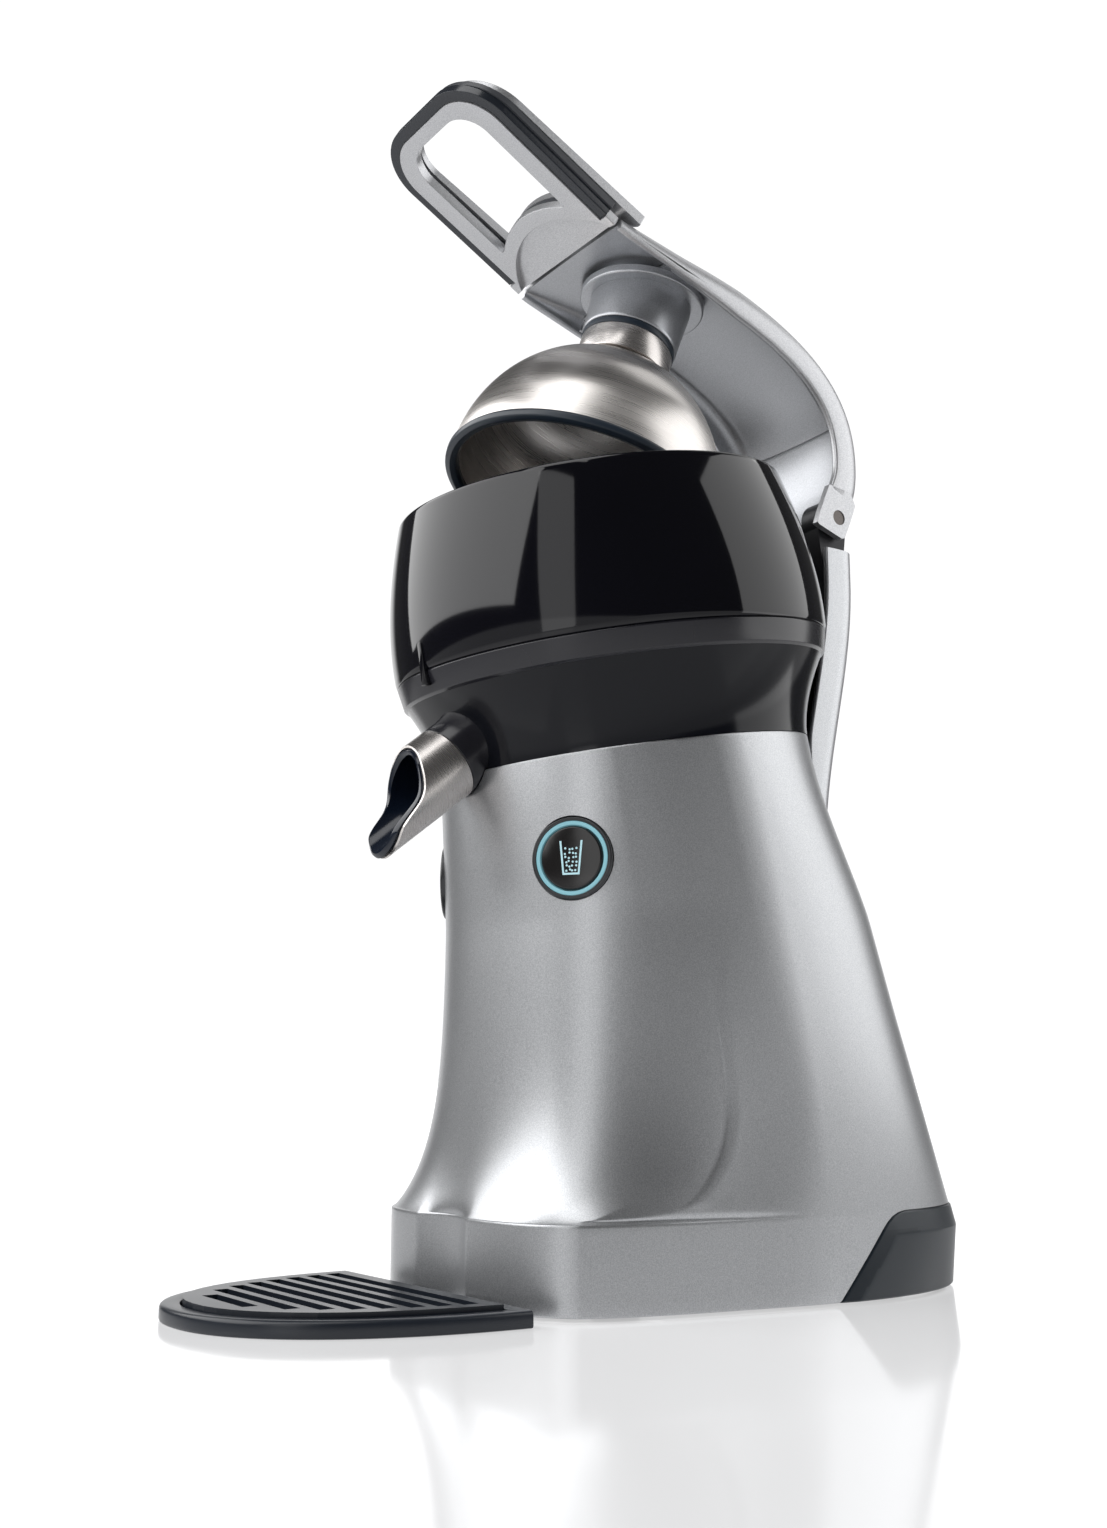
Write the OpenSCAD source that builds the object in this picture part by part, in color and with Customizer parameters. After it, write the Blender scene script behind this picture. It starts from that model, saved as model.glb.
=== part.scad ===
// Citrus press juicer: a lever arm presses a steel dome over a driven reamer,
// and the juice leaves a tilted collector through a swivelling spout.
// +Y is the back, +Z is up, and the origin is under the middle of the footprint.

/* [Bowl and funnel] */
// Forward tilt of the reamer axis, in degrees
bowl_tilt = 9.34; // [8:0.2:11]
// Height of the waist, where the funnel meets the housing, on the reamer axis
waist_z = 206.9; // [204:0.5:210]
// Distance of the waist centre behind the origin
waist_y = 22; // [20:0.5:24]
// Radius of the waist
waist_r = 74.7; // [73.5:0.1:75.5]
// Radius of the bowl's rim
bowl_rim_r = 79.05; // [77:0.5:81]
// Height of the bowl's rim above the waist
bowl_top = 106.8; // [102:0.5:110]

/* [Housing] */
// Height of the plinth's top edge
ledge_z = 31.5; // [29:0.5:33]
// Height of the housing's lower edge above the table
floor_gap = 1.1; // [0.8:0.1:2]
// Wall thickness of the housing
housing_wall = 3; // [2.4:0.2:3.4]
// Distance of the plinth's front behind the origin
plinth_front = -62; // [-63:0.5:-60]
// Distance of the housing's back at ledge height
housing_back = 158.5; // [155:0.5:159]

/* [Press arm] */
// Lean of the dome axis in the raised rest position, in degrees
dome_lean = 19; // [17:0.5:21]
// Position of the sleeve's lower rim, Y
dome_y = 25.7; // [24:0.5:27]
// Position of the sleeve's lower rim, Z
dome_z = 389.8; // [388:0.5:392]
// Half width of the arm
arm_half_w = 38; // [37:0.5:39]
// Position of the hinge pin, Y
pin_y = 109.4; // [109:0.1:110]
// Position of the hinge pin, Z
pin_z = 317.4; // [317:0.1:318]
// Radius of the hinge pin
pin_r = 3.3; // [3:0.1:3.5]

/* [Dome] */
// Outer radius of the dome at its rim
dome_r = 57; // [55:0.5:58]
// Height from the sleeve to the dome's rim
dome_drop = 75; // [72:0.5:77]
// Radius of the neck ring
neck_r = 20.2; // [19.5:0.1:20.6]

/* [Spout] */
// Downward slope of the spout, in degrees
spout_slope = 38; // [35:0.5:41]
// Outer radius of the spout sleeve
spout_r = 14.7; // [14:0.1:15]

/* [Buttons] */
// Distance of each button from the middle plane
button_x = 45.2; // [43:0.2:47]
// Height of the buttons
button_z = 158.7; // [150:0.5:165]
// Angle of each button from straight ahead, in degrees
button_turn = 37.9; // [36:0.5:40]
// Travel of the buttons
button_travel = 1.5; // [1:0.1:2]

/* [Drip tray] */
// Half width of the tray at its back edge
tray_half_w = 66; // [62:0.5:68]
// Length of the tray from its back edge to its front
tray_len = 98.5; // [97:0.1:99]
// Height of the tray's wall
tray_h = 5.7; // [5:0.1:6.5]

/* [Gear train] */
// Gear module, the tooth size
gear_m = 1; // [0.98:0.01:1.02]
// Teeth of the large gears
big_teeth = 54; // [54]
// Teeth of the small gears
small_teeth = 18; // [18]

/* [Hidden] */
$fn = 96;

grey = [0.72, 0.73, 0.75];
dark = [0.07, 0.07, 0.09];
steel = [0.66, 0.64, 0.62];

// ---------- frames ----------
module on_bowl_axis(h = 0) {
    translate([0, waist_y, waist_z]) rotate([bowl_tilt, 0, 0]) translate([0, 0, h]) children();
}
module on_dome_axis(h = 0) {
    translate([0, dome_y, dome_z]) rotate([-dome_lean, 0, 0]) translate([0, 0, h]) children();
}
// spout: +Z runs out of the mouth, the seam between collar and sleeve is at 0
seam_y = -62;
seam_z = 197.8;
module on_spout(t = 0) {
    translate([0, seam_y, seam_z]) rotate([90 + spout_slope, 0, 0]) translate([0, 0, t]) children();
}
// button: +Z points out of the housing
button_y = -34.25;
module at_button(side) {
    translate([side * button_x, button_y, button_z]) rotate([0, 0, side * button_turn])
        rotate([90, 0, 0]) children();
}
// handle: x across, y towards the grip's front, z up out of the grip's underside
handle_rise = 29.8;
handle_y = -10.5;
handle_z = 421.9;
module on_handle() {
    translate([0, handle_y, handle_z]) rotate([0, 0, 180]) rotate([handle_rise, 0, 0]) children();
}
// a flat shape in the side view (y, z), extruded across x from x0 to x1
module side_plate(x0, x1) {
    translate([x0, 0, 0]) rotate([90, 0, 90]) linear_extrude(x1 - x0) children();
}
module both_sides() {
    children();
    mirror([1, 0, 0]) children();
}
module tube(r_out, r_in, h) {
    difference() {
        cylinder(r = r_out, h = h);
        translate([0, 0, -1]) cylinder(r = r_in, h = h + 2);
    }
}

// ---------- helper curves ----------
function clamp01(t) = min(1, max(0, t));
function mix(a, b, t) = a + (b - a) * t;
function bezier(p, t) = let (s = 1 - t)
    p[0] * s * s * s + p[1] * 3 * s * s * t + p[2] * 3 * s * t * t + p[3] * t * t * t;
// faces of a closed band of rings, each with n points; loop joins the last ring to the first
function band_faces(rings, n, loop = false) = [
    for (i = [0 : rings - (loop ? 1 : 2)], j = [0 : n - 1])
        let (a = i * n + j, b = i * n + (j + 1) % n, c = ((i + 1) % rings) * n + (j + 1) % n,
            d = ((i + 1) % rings) * n + j)
        each [[a, c, b], [a, d, c]]];

// ---------- housing skin ----------
column_y = 24;          // centre of the round front column
column_r = 73.6;
flare_reach = 24;       // height over which the column's foot flares out
flare_start = 0.95;
notch_r = 38;           // round recess in the plinth's front, for a glass
notch_y = -95.4;
plinth_w = 76;          // half width of the plinth's front flanks
plinth_n = 3.4;         // squareness of its corners
tall = waist_z - ledge_z;

// plan radius of the plinth from the column's centre, at angle a from straight ahead
function plinth_radius(a) =
    let (front = column_y - plinth_front,
        full = pow(pow(abs(sin(a)) / plinth_w, plinth_n) + pow(abs(cos(a)) / front, plinth_n),
            -1 / plinth_n),
        d = column_y - notch_y, inside = notch_r * notch_r - pow(d * sin(a), 2),
        notch = inside > 0 ? d * cos(a) - sqrt(inside) : full)
    min(full, notch);
function flare(z) = z <= ledge_z ? 1 : flare_start * exp(-(z - ledge_z) / flare_reach);
function top_blend(z) = clamp01((z - 140) / (waist_z - 140));
function column_mid(z) = mix(column_y, waist_y, top_blend(z));
function column_radius(a, z) =
    mix(mix(column_r, waist_r, top_blend(z)), plinth_radius(a), flare(z));
// the crease between column and side panel, seen from the side
crease_knee_z = 71;
crease_back = 12.3;
crease_front = -24;
function crease_y(z) =
    z <= ledge_z + 1 ? crease_front
    : z < crease_knee_z ? mix(crease_front, crease_back,
        sqrt(max(0, 1 - pow((crease_knee_z - z) / (crease_knee_z - ledge_z - 1), 2))))
    : crease_back - 20.5 * pow((z - crease_knee_z) / (waist_z - crease_knee_z), 1.2);
function crease_angle(z, a = 80, n = 6) =
    n == 0 ? a
    : crease_angle(z, acos((column_mid(z) - crease_y(z)) / column_radius(a, z)), n - 1);
// side panel and back
function rise(z) = clamp01((z - ledge_z) / tall);
function side_w(z) = mix(81, waist_r, pow(rise(z), 0.9));
function side_mid(z) = mix(55, waist_y, pow(rise(z), 1.6));
function back_y(z) = let (straight = housing_back - 0.375 * max(0, z - ledge_z),
        round_back = waist_y + waist_r * cos(bowl_tilt))
    mix(straight, round_back, pow(top_blend(z), 2));
function back_n(z) = mix(2.5, 2, top_blend(z));
function side_x(y, z, xc, yc) =
    let (w = side_w(z), t = (side_mid(z) - y) / (side_mid(z) - yc), c = 0.6 + 40 * pow(rise(z), 4))
    w - (w - xc) * t * t * (1 + c) / (t * t + c);
function row_tilt(z) = bowl_tilt * pow(clamp01((z - 100) / (waist_z - 100)), 1.5);
function crease_step(z) = z <= ledge_z ? 0.01 : 2.2 * (1 - pow(rise(z), 2)) + 0.01;

front_n = 15;
side_n = 5;
rear_n = 9;
// half outline of the housing at height z: from the front middle to the back middle
function half_row(z) =
    let (ac = crease_angle(z), yc = crease_y(z), m = column_mid(z),
        xb = column_radius(ac, z) * sin(ac), xc = xb + crease_step(z),
        sm = side_mid(z), w = side_w(z), d = back_y(z) - sm, n = back_n(z))
    concat(
        [for (i = [0 : front_n]) let (a = ac * i / front_n, r = column_radius(a, z))
            [r * sin(a), m - r * cos(a)]],
        [[xc - 0.3 * crease_step(z), yc + 0.6]],
        [for (i = [0 : side_n - 1]) let (y = mix(yc + 2, sm, i / side_n)) [side_x(y, z, xc, yc), y]],
        [for (i = [0 : rear_n]) let (a = 90 * i / rear_n)
            [w * pow(cos(a), 2 / n), sm + d * pow(sin(a), 2 / n)]]);
function full_row(z) =
    let (h = half_row(z), n = len(h))
    concat(h, [for (i = [n - 2 : -1 : 1]) [-h[i][0], h[i][1]]]);
// a row set in space, grown sideways by g, with the top rows tilted like the funnel
function row_3d(z, g = 0) =
    let (m = side_mid(z), lean = tan(row_tilt(z)))
    [for (p = full_row(z)) let (q = [p[0], p[1] - m], k = 1 + g / norm(q), y = m + q[1] * k)
        [q[0] * k, y, z + (y - waist_y) * lean]];
row_n = 2 * (front_n + side_n + rear_n + 2);
skin_rows = [floor_gap, ledge_z - 1.2, ledge_z, ledge_z + 1.2, 34.5, 37, 40, 44, 49, 55, 62, 71, 82, 96, 112,
    128, 144, 160, 175, 190, waist_z];
core_rows = [waist_z, 175, 140, 90, 50, floor_gap];

module housing_blank() {
    rings = concat([for (z = skin_rows) row_3d(z)], [for (z = core_rows) row_3d(z, -housing_wall)]);
    polyhedron(points = [for (r = rings) each r],
        faces = band_faces(len(rings), row_n, true), convexity = 6);
}
// region of the rear foot cover in the side view
module foot_region(grow = 0) {
    polygon(concat([for (p = foot_edge) [p[0] - grow, p[1] + grow]], [[170, ledge_z + grow], [170, -5]]));
}
module housing() {
    color(grey) {
        difference() {
            housing_blank();
            for (side = [-1, 1]) at_button(side) translate([0, 0, -14]) cylinder(r = 15.5, h = 30);
            on_spout(-30) cylinder(r = spout_r + 0.4, h = 30);
            side_plate(-100, 100) foot_region(0.25);
            spine_clearance();
        }
        for (k = front_bosses) both_sides() screw_boss(k);
    }
}
module spine_clearance() {
    translate([-arm_half_w - 0.3, 88, 168]) cube([2 * arm_half_w + 0.6, 40, 60]);
}
// The foot cover stands proud of the housing inside a chamfered border, and more so at the back.
// Its front edge in the side view is [y, z].
foot_edge = [[52, -4.5], [80, 25.2], [82.5, 27.6], [85.5, 29.6], [89, 30.9], [93, ledge_z]];
foot_heights = [floor_gap, 12, 23.3, 25.2, 27.6, 29.6, 30.9, ledge_z];
foot_steps = 34;
border_w = 5.8;         // width of the chamfer
cover_wall = 3;
function foot_edge_y(z) = lookup(z, [for (p = foot_edge) [p[1], p[0]]]);
function foot_proud(y, z) =
    let (k = clamp01((y - 50) / 90), edge = 0.71 * min(ledge_z - z, y - foot_edge_y(z)))
    (1 + mix(-1.3, 1, clamp01(z / 23)) * k * k) * clamp01(edge / border_w) + mix(0.25, 0.6, k) * clamp01(edge / 0.4);
// a point of the cover's wall at angle a round the back, inset from its outer face
function foot_point(z, a, inset = 0) =
    let (n = back_n(floor_gap), w = side_w(floor_gap), m = side_mid(floor_gap), d = housing_back - m,
        x = sign(cos(a)) * w * pow(abs(cos(a)), 2 / n), y = m + d * pow(abs(sin(a)), 2 / n),
        q = [x / w, (y - m) / d], u = q / norm(q), g = foot_proud(y, z) - inset)
    [x + u[0] * g, max(y + u[1] * g, foot_edge_y(z)), z];
function foot_ring(z) =
    let (m = side_mid(floor_gap), d = housing_back - m, n = back_n(floor_gap),
        a0 = asin(pow(clamp01((foot_edge_y(z) - m) / d), n / 2)),
        angles = [for (k = [0 : foot_steps]) let (s = k / foot_steps) mix(a0, 180 - a0, s - 0.12 * sin(360 * s))])
    concat([for (a = angles) foot_point(z, a)],
        [for (k = [foot_steps : -1 : 0]) foot_point(z, angles[k], cover_wall)]);
module rear_foot_cover() {
    rings = [for (z = foot_heights) foot_ring(z)];
    n = 2 * (foot_steps + 1);
    top = (len(rings) - 1) * n;
    function across(base, k) = [base + k, base + k + 1, base + n - 2 - k, base + n - 1 - k];
    function flipped(q) = [q[3], q[2], q[1], q[0]];
    color([0.16, 0.2, 0.24]) {
        difference() {
            polyhedron(points = [for (r = rings) each r],
                faces = concat(band_faces(len(rings), n),
                    [for (k = [0 : foot_steps - 1]) across(0, k)],
                    [for (k = [0 : foot_steps - 1]) flipped(across(top, k))]), convexity = 6);
            translate([0, 150, gland_z]) rotate([-90, 0, 0]) cylinder(r = gland_r + 0.05, h = 20);
        }
        for (k = rear_bosses) both_sides() screw_boss(k, 0.6);
    }
}

// ---------- base ----------
plate_t = 2.4;
plate_low = floor_gap + 0.2;
plate_top = plate_low + plate_t;
foot_spots = [[-50, -20], [50, -20], [-52, 104], [52, 104]];
// screw bosses stand inside the wall; each is named by its place along the wall's outline
front_bosses = [9, 17];
rear_bosses = [25];
boss_in = 11;
function boss_at(k) =
    let (m = side_mid(floor_gap), p = full_row(floor_gap)[k], q = [p[0], p[1] - m], s = 1 - boss_in / norm(q))
    [q[0] * s, m + q[1] * s, atan2(q[1], q[0])];
screw_spots = [for (k = concat(front_bosses, rear_bosses)) each let (b = boss_at(k)) [[b[0], b[1]], [-b[0], b[1]]]];
module screw_boss(k, reach = -1.5) {
    b = boss_at(k);
    translate([b[0], b[1], plate_top + 0.02]) rotate(b[2]) difference() {
        union() {
            cylinder(r = 4, h = 10);
            translate([2.5, -1.2, 0]) cube([boss_in - 2.5 + reach, 2.4, 10]);
        }
        translate([0, 0, -1]) cylinder(r = 1.6, h = 9.6);
    }
}
module base_plate() {
    outline = [for (p = full_row(floor_gap)) let (m = side_mid(floor_gap), q = [p[0], p[1] - m],
        k = 1 - (housing_wall + 2.6) / norm(q)) [q[0] * k, m + q[1] * k]];
    color([0.12, 0.12, 0.13]) difference() {
        translate([0, 0, plate_low]) linear_extrude(plate_t) polygon(outline);
        for (p = foot_spots) translate([p[0], p[1], -1]) cylinder(r = 8.5, h = 3.2);
        for (p = screw_spots) translate([p[0], p[1], 0]) {
            cylinder(r = 1.7, h = 9);
            cylinder(r = 3.3, h = plate_low + 1.6);
        }
    }
}
module rubber_feet() {
    color([0.05, 0.05, 0.05]) for (p = foot_spots) translate([p[0], p[1], 0]) cylinder(r = 8.4, h = 2.2);
}
module base_screws() {
    color(steel) for (p = screw_spots) translate([p[0], p[1], plate_low + 0.1]) {
        cylinder(r = 1.6, h = 10.8);
        cylinder(r = 3.2, h = 1.5);
    }
}

// ---------- channel sections swept along a side-view curve ----------
// a station is [y, z, direction of travel in degrees, depth, half width, crown]
wall_t = 3;
corner_r = 8;
crown_n = 6;
corner_n = 4;
// half section from the middle out and down the wall: [x, distance out of the curve]
function shell_half(w, depth, crown, t) =
    let (r = min(corner_r, depth - 1.6) - t, flat = w - t - r)
    concat([for (i = [0 : crown_n - 1]) let (x = flat * i / crown_n) [x, crown * (1 - pow(x / w, 2)) - t]],
        [for (i = [0 : corner_n]) let (a = 90 * i / corner_n, x = flat + r * sin(a))
            [x, crown * (1 - pow(flat / w, 2)) * cos(a) - t - r * (1 - cos(a))]],
        [[w - t, -depth]]);
function shell_section(w, depth, crown, t) =
    let (o = shell_half(w, depth, crown, 0), i = shell_half(w, depth, crown, t), n = len(o))
    concat(o, [for (k = [n - 1 : -1 : 0]) i[k]],
        [for (k = [1 : n - 1]) [-i[k][0], i[k][1]]], [for (k = [n - 1 : -1 : 1]) [-o[k][0], o[k][1]]]);
function station_ring(s, t = wall_t) =
    [for (p = shell_section(s[4], s[3], s[5], t))
        [p[0], s[0] - p[1] * sin(s[2]), s[1] + p[1] * cos(s[2])]];
module swept_channel(stations, t = wall_t) {
    rings = [for (s = stations) station_ring(s, t)];
    n = len(rings[0]);
    last = (len(rings) - 1) * n;
    half = n / 2;
    // each end is closed by quads between the outer and the inner line
    function end_quads(base, flip) = [for (k = [0 : half - 2])
        let (o1 = base + end_out(k), o2 = base + end_out(k + 1), i1 = base + end_in(k), i2 = base + end_in(k + 1))
        flip ? [o1, o2, i2, i1] : [i1, i2, o2, o1]];
    // outer line runs from the left wall's foot over the middle to the right wall's foot
    q = (n + 2) / 4;
    function end_out(k) = k < q - 1 ? n - (q - 1) + k : k - (q - 1);
    function end_in(k) = k < q - 1 ? 3 * q - 2 - k : 3 * q - 2 - k;
    polyhedron(points = [for (r = rings) each r],
        faces = concat(band_faces(len(rings), n), end_quads(0, true), end_quads(last, false)),
        convexity = 6);
}

// ---------- press arm ----------
// outline of the arm's edge in the side view: straight, then round the bend, then down to the pin
arm_front = [-4, 423.7];
bend_start = [60, 409];
bend_end = [123, 341.4];
tail_end = [119.8, 325];
front_curve = [arm_front, [18, 419.4], [42, 414.8], bend_start];
bend_curve = [bend_start, [100.6, 394.8], [124.2, 376], bend_end];
tail_curve = [bend_end, [123, 335], [121.8, 330], tail_end];
function curve_station(c, t, depth, crown) =
    let (p = bezier(c, t), d = bezier(c, t + 0.01) - bezier(c, t - 0.01), a = atan2(d[1], d[0]))
    [p[0], p[1], a, depth, arm_half_w, crown];
arm_stations = concat(
    [for (i = [0 : 4]) let (t = i / 5) curve_station(front_curve, t, mix(5.2, 13, pow(t, 0.8)), mix(1, 6.3, t))],
    [for (i = [0 : 9]) curve_station(bend_curve, i / 9, mix(13, 14, i / 9), 6.3)],
    [for (i = [1 : 3]) curve_station(tail_curve, i / 3, mix(14, 15.5, i / 3), mix(6.3, 4.5, i / 3))]);
arm_grey = [0.78, 0.79, 0.8];
module cheek_shape() {
    difference() {
        union() {
            polygon([[96.8, 312.8], [98.8, 318.5], [100.6, 322.6], [102.6, 327.2], [104.5, 331.5], [116.6, 330],
                [119.2, 324.5], [117.2, 319.4], [114.6, 313.4], [112.3, 308.6], [110.6, 308.2]]);
        }
        translate([pin_y, pin_z]) circle(r = pin_r);
    }
}
module lever_arm() {
    color(arm_grey) difference() {
        union() {
            swept_channel(arm_stations);
            both_sides() side_plate(arm_half_w - wall_t, arm_half_w) cheek_shape();
        }
        side_plate(-60, 60) translate([pin_y, pin_z]) circle(r = pin_r);
    }
}
module arm_inner_cover() {
    gap = wall_t + 0.2;
    stations = [for (i = [2 : 12]) let (s = arm_stations[i])
        [s[0] + gap * sin(s[2]), s[1] - gap * cos(s[2]), s[2], s[3] - gap - 0.8, arm_half_w - gap, s[5]]];
    color([0.6, 0.61, 0.63]) difference() {
        union() {
            swept_channel(stations, 1.6);
            translate([0, 33.4, 411.9]) rotate([-11, 0, 0]) translate([0, 0, -2.4]) cylinder(r = 27, h = 3.5);
        }
        on_dome_axis(-2) cylinder(r = neck_r + 2, h = 60);
    }
}
hinge_boss_r = 9;
module hinge_pin() {
    color(steel) side_plate(0.4 - arm_half_w, arm_half_w - 0.4) translate([pin_y, pin_z]) circle(r = pin_r);
}

// ---------- handle ----------
grip_front = 80.1;
grip_rear = -1;
grip_corner = 22;
open_half_w = 23.5;
open_front = 69.5;
open_rear = 14;
open_corner = 13;
// half outline with a round front corner, then mirrored; z is up out of the handle plane
function corner_arc(w, front, r, n = 8) =
    [for (i = [0 : n]) let (a = 90 * i / n) [w - r + r * cos(a), front - r + r * sin(a)]];
function mirrored(h) = concat(h, [for (i = [len(h) - 1 : -1 : 0]) [-h[i][0], h[i][1]]]);
module grip_outline(w, rear, front, r) {
    polygon(mirrored(concat([[w, rear]], corner_arc(w, front, r))));
}
module grip_opening(grow = 0) {
    w = open_half_w + grow;
    arc_r = 40;
    polygon(concat(mirrored(concat([[w, open_rear - grow]], corner_arc(w, open_front + grow, open_corner + grow))),
        [for (i = [1 : 7]) let (x = mix(-w, w, i / 8))
            [x, open_rear - grow + sqrt(arc_r * arc_r - x * x) - sqrt(arc_r * arc_r - w * w)]]));
}
// the two upper layers get thinner towards the front: planes at heights a and b above s = 0 and grip_front
module above(a, b) {
    slope = atan((b - a) / grip_front);
    translate([-60, 0, a]) rotate([slope, 0, 0]) translate([0, -60, 0]) cube([120, 200, 30]);
}
grip_step = 4;
seam_a = 7.7;
seam_b = 6.2;
cover_a = 12.4;
cover_b = 8.8;
recess_y = -24.9;       // round recess in the frame's underside, in front of the arm's channel
recess_r = 39.5;
recess_z = 2.4;
module frame_outline() {
    difference() {
        union() {
            grip_outline(32.5, -4, grip_front - 4.6, grip_corner - 4);
            translate([-36.6, -4]) square([73.2, 5.2]);
        }
        grip_opening();
    }
}
module handle_frame() {
    color(arm_grey) on_handle() difference() {
        translate([0, 0, -0.4]) linear_extrude(grip_step + 0.4) frame_outline();
        translate([0, recess_y, -1]) cylinder(r = recess_r, h = recess_z + 1);
    }
}
module handle_lower_grip() {
    color(dark) on_handle() translate([0, 0, 0.3]) linear_extrude(grip_step - 0.3) difference() {
        grip_outline(37, 1.4, grip_front, grip_corner);
        grip_outline(32.5, -6, grip_front - 4.6, grip_corner - 4);
    }
}
module handle_upper_grip() {
    color([0.2, 0.21, 0.23]) on_handle() difference() {
        translate([0, 0, grip_step]) linear_extrude(5) difference() {
            grip_outline(38, 1, grip_front - 0.6, grip_corner);
            grip_opening(3);
        }
        above(seam_a, seam_b);
    }
}
module handle_cover() {
    color([0.82, 0.83, 0.84]) on_handle() difference() {
        translate([0, 0, seam_b - 1]) linear_extrude(cover_a) difference() {
            grip_outline(38.4, -12.8, grip_front - 2.6, grip_corner);
            grip_opening(1.5);
            translate([0, -56]) circle(r = 56);
        }
        mirror([0, 0, 1]) above(-seam_a, -seam_b);
        above(cover_a, cover_b);
    }
}

// ---------- press dome ----------
module press_sleeve() {
    color([0.66, 0.67, 0.69]) on_dome_axis() difference() {
        rotate_extrude() polygon([[0, 0], [neck_r + 0.5, 0], [neck_r + 1, 10], [neck_r + 1.6, 22], [21, 24.6],
            [0, 24.6]]);
        translate([0, 0, -1]) cylinder(r = 16, h = 20);
    }
}
gasket_h = 3;
neck_h = 11.5;
module dome_gasket() {
    color(dark) on_dome_axis(-gasket_h) tube(neck_r + 0.3, 12, gasket_h);
}
module dome_neck() {
    color(steel) on_dome_axis(-gasket_h - neck_h) tube(neck_r, 12, neck_h);
}
dome_wall = 1.5;
seal_h = 3.6;
function dome_curve(r, h, n = 16) = [for (i = [0 : n]) let (a = 90 * i / n) [r * cos(a), h * sin(a)]];
dome_h = dome_drop - gasket_h - neck_h + 1;
module press_dome() {
    inner = dome_curve(dome_r - dome_wall, dome_h - dome_wall);
    outer = dome_curve(dome_r, dome_h);
    color(steel) on_dome_axis(-dome_drop) difference() {
        rotate_extrude() polygon(concat(outer, [for (i = [len(inner) - 1 : -1 : 0]) inner[i]]));
        translate([0, 0, dome_drop - gasket_h - neck_h]) cylinder(r = 40, h = 20);
        translate([0, 0, dome_h - 9]) cylinder(r = 4.1, h = 20);
    }
}
module dome_screw() {
    color(steel) on_dome_axis(-gasket_h - neck_h) {
        translate([0, 0, -4]) cylinder(r = 4, h = 36);
        translate([0, 0, -6.5]) cylinder(r = 8, h = 3.4);
    }
}
module dome_rim_seal() {
    color([0.06, 0.1, 0.16]) on_dome_axis(-dome_drop) rotate_extrude()
        polygon([[dome_r - 4, -0.1], [dome_r + 0.6, -0.1], [dome_r + 1.4, -1.4], [dome_r + 1.2, -seal_h],
            [dome_r - 1, -seal_h - 0.8], [dome_r - 3.4, -seal_h], [dome_r - 4.4, -2]]);
}

// ---------- spine and hinge frame ----------
spine_top = 303;
spine_stations = [for (z = [spine_top, 284, 266, 248, 230, 212, 195, 180, 168.5])
    [spine_back(z), z, -90 + spine_lean(z), z < 200 ? 10 : 17, arm_half_w, 3]];
function smooth(t) = t * t * (3 - 2 * t);
function spine_back(z) = mix(100, 118.6, smooth(clamp01((z - 170) / 120)));
function spine_lean(z) = -atan((spine_back(z + 2) - spine_back(z - 2)) / 4);
module spine_cover() {
    color(arm_grey) difference() {
        union() {
            swept_channel(spine_stations, 2.6);
            for (z = screw_heights) at_hinge_screws([z]) translate([0, 0, 7])
                cylinder(r = 4, h = spine_back(z) + 1.2 - web_front(z) - 6.4);
        }
        at_hinge_screws() translate([0, 0, 3]) cylinder(r = 2.05, h = 7.2);
        on_bowl_axis(-2) cylinder(r = waist_r + 0.4, h = 60);
    }
}
ear_x0 = 24;
ear_x1 = 33;
module hinge_frame() {
    color([0.16, 0.16, 0.18]) difference() {
        union() {
            both_sides() side_plate(ear_x0, ear_x1) difference() {
                union() {
                    translate([pin_y, pin_z]) circle(r = hinge_boss_r);
                    polygon([[101, 318], [117.6, 314], [114.5, 290], [112.5, 270], [105, 226], [99.5, 226],
                        [104.3, 262], [104.6, 290]]);
                }
                translate([pin_y, pin_z]) circle(r = pin_r + 1.7);
            }
            side_plate(-ear_x0 - 1, ear_x0 + 1) polygon([[106.6, 298], [112.5, 298], [111, 270], [105, 226],
                [101, 226], [105.4, 262]]);
        }
        at_hinge_screws() translate([0, 0, -10]) cylinder(r = 2.05, h = 40);
    }
}
// the hinge frame's web is held by four screws that run backwards through it
function web_front(z) = z < 262 ? mix(101, 105.4, (z - 226) / 36) : mix(105.4, 106.6, (z - 262) / 36);
screw_heights = [238, 284];
module at_hinge_screws(heights = screw_heights) {
    for (x = [-15, 15], z = heights) translate([x, web_front(z) - 0.6, z]) rotate([-90, 0, 0]) children();
}
module hinge_bushes() {
    color([0.7, 0.55, 0.3]) both_sides() side_plate(ear_x0, ear_x1) translate([pin_y, pin_z]) difference() {
        circle(r = pin_r + 1.7);
        circle(r = pin_r + 0.05);
    }
}
module hinge_washers() {
    color([0.1, 0.1, 0.1]) both_sides() side_plate(ear_x1, arm_half_w - wall_t - 0.4)
        translate([pin_y, pin_z]) difference() {
            circle(r = hinge_boss_r - 1);
            circle(r = pin_r + 0.3);
        }
}
module hinge_screws() {
    color(steel) at_hinge_screws() {
        cylinder(r = 2, h = 10);
        translate([0, 0, -2]) cylinder(r = 3.6, h = 2);
    }
}

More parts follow.
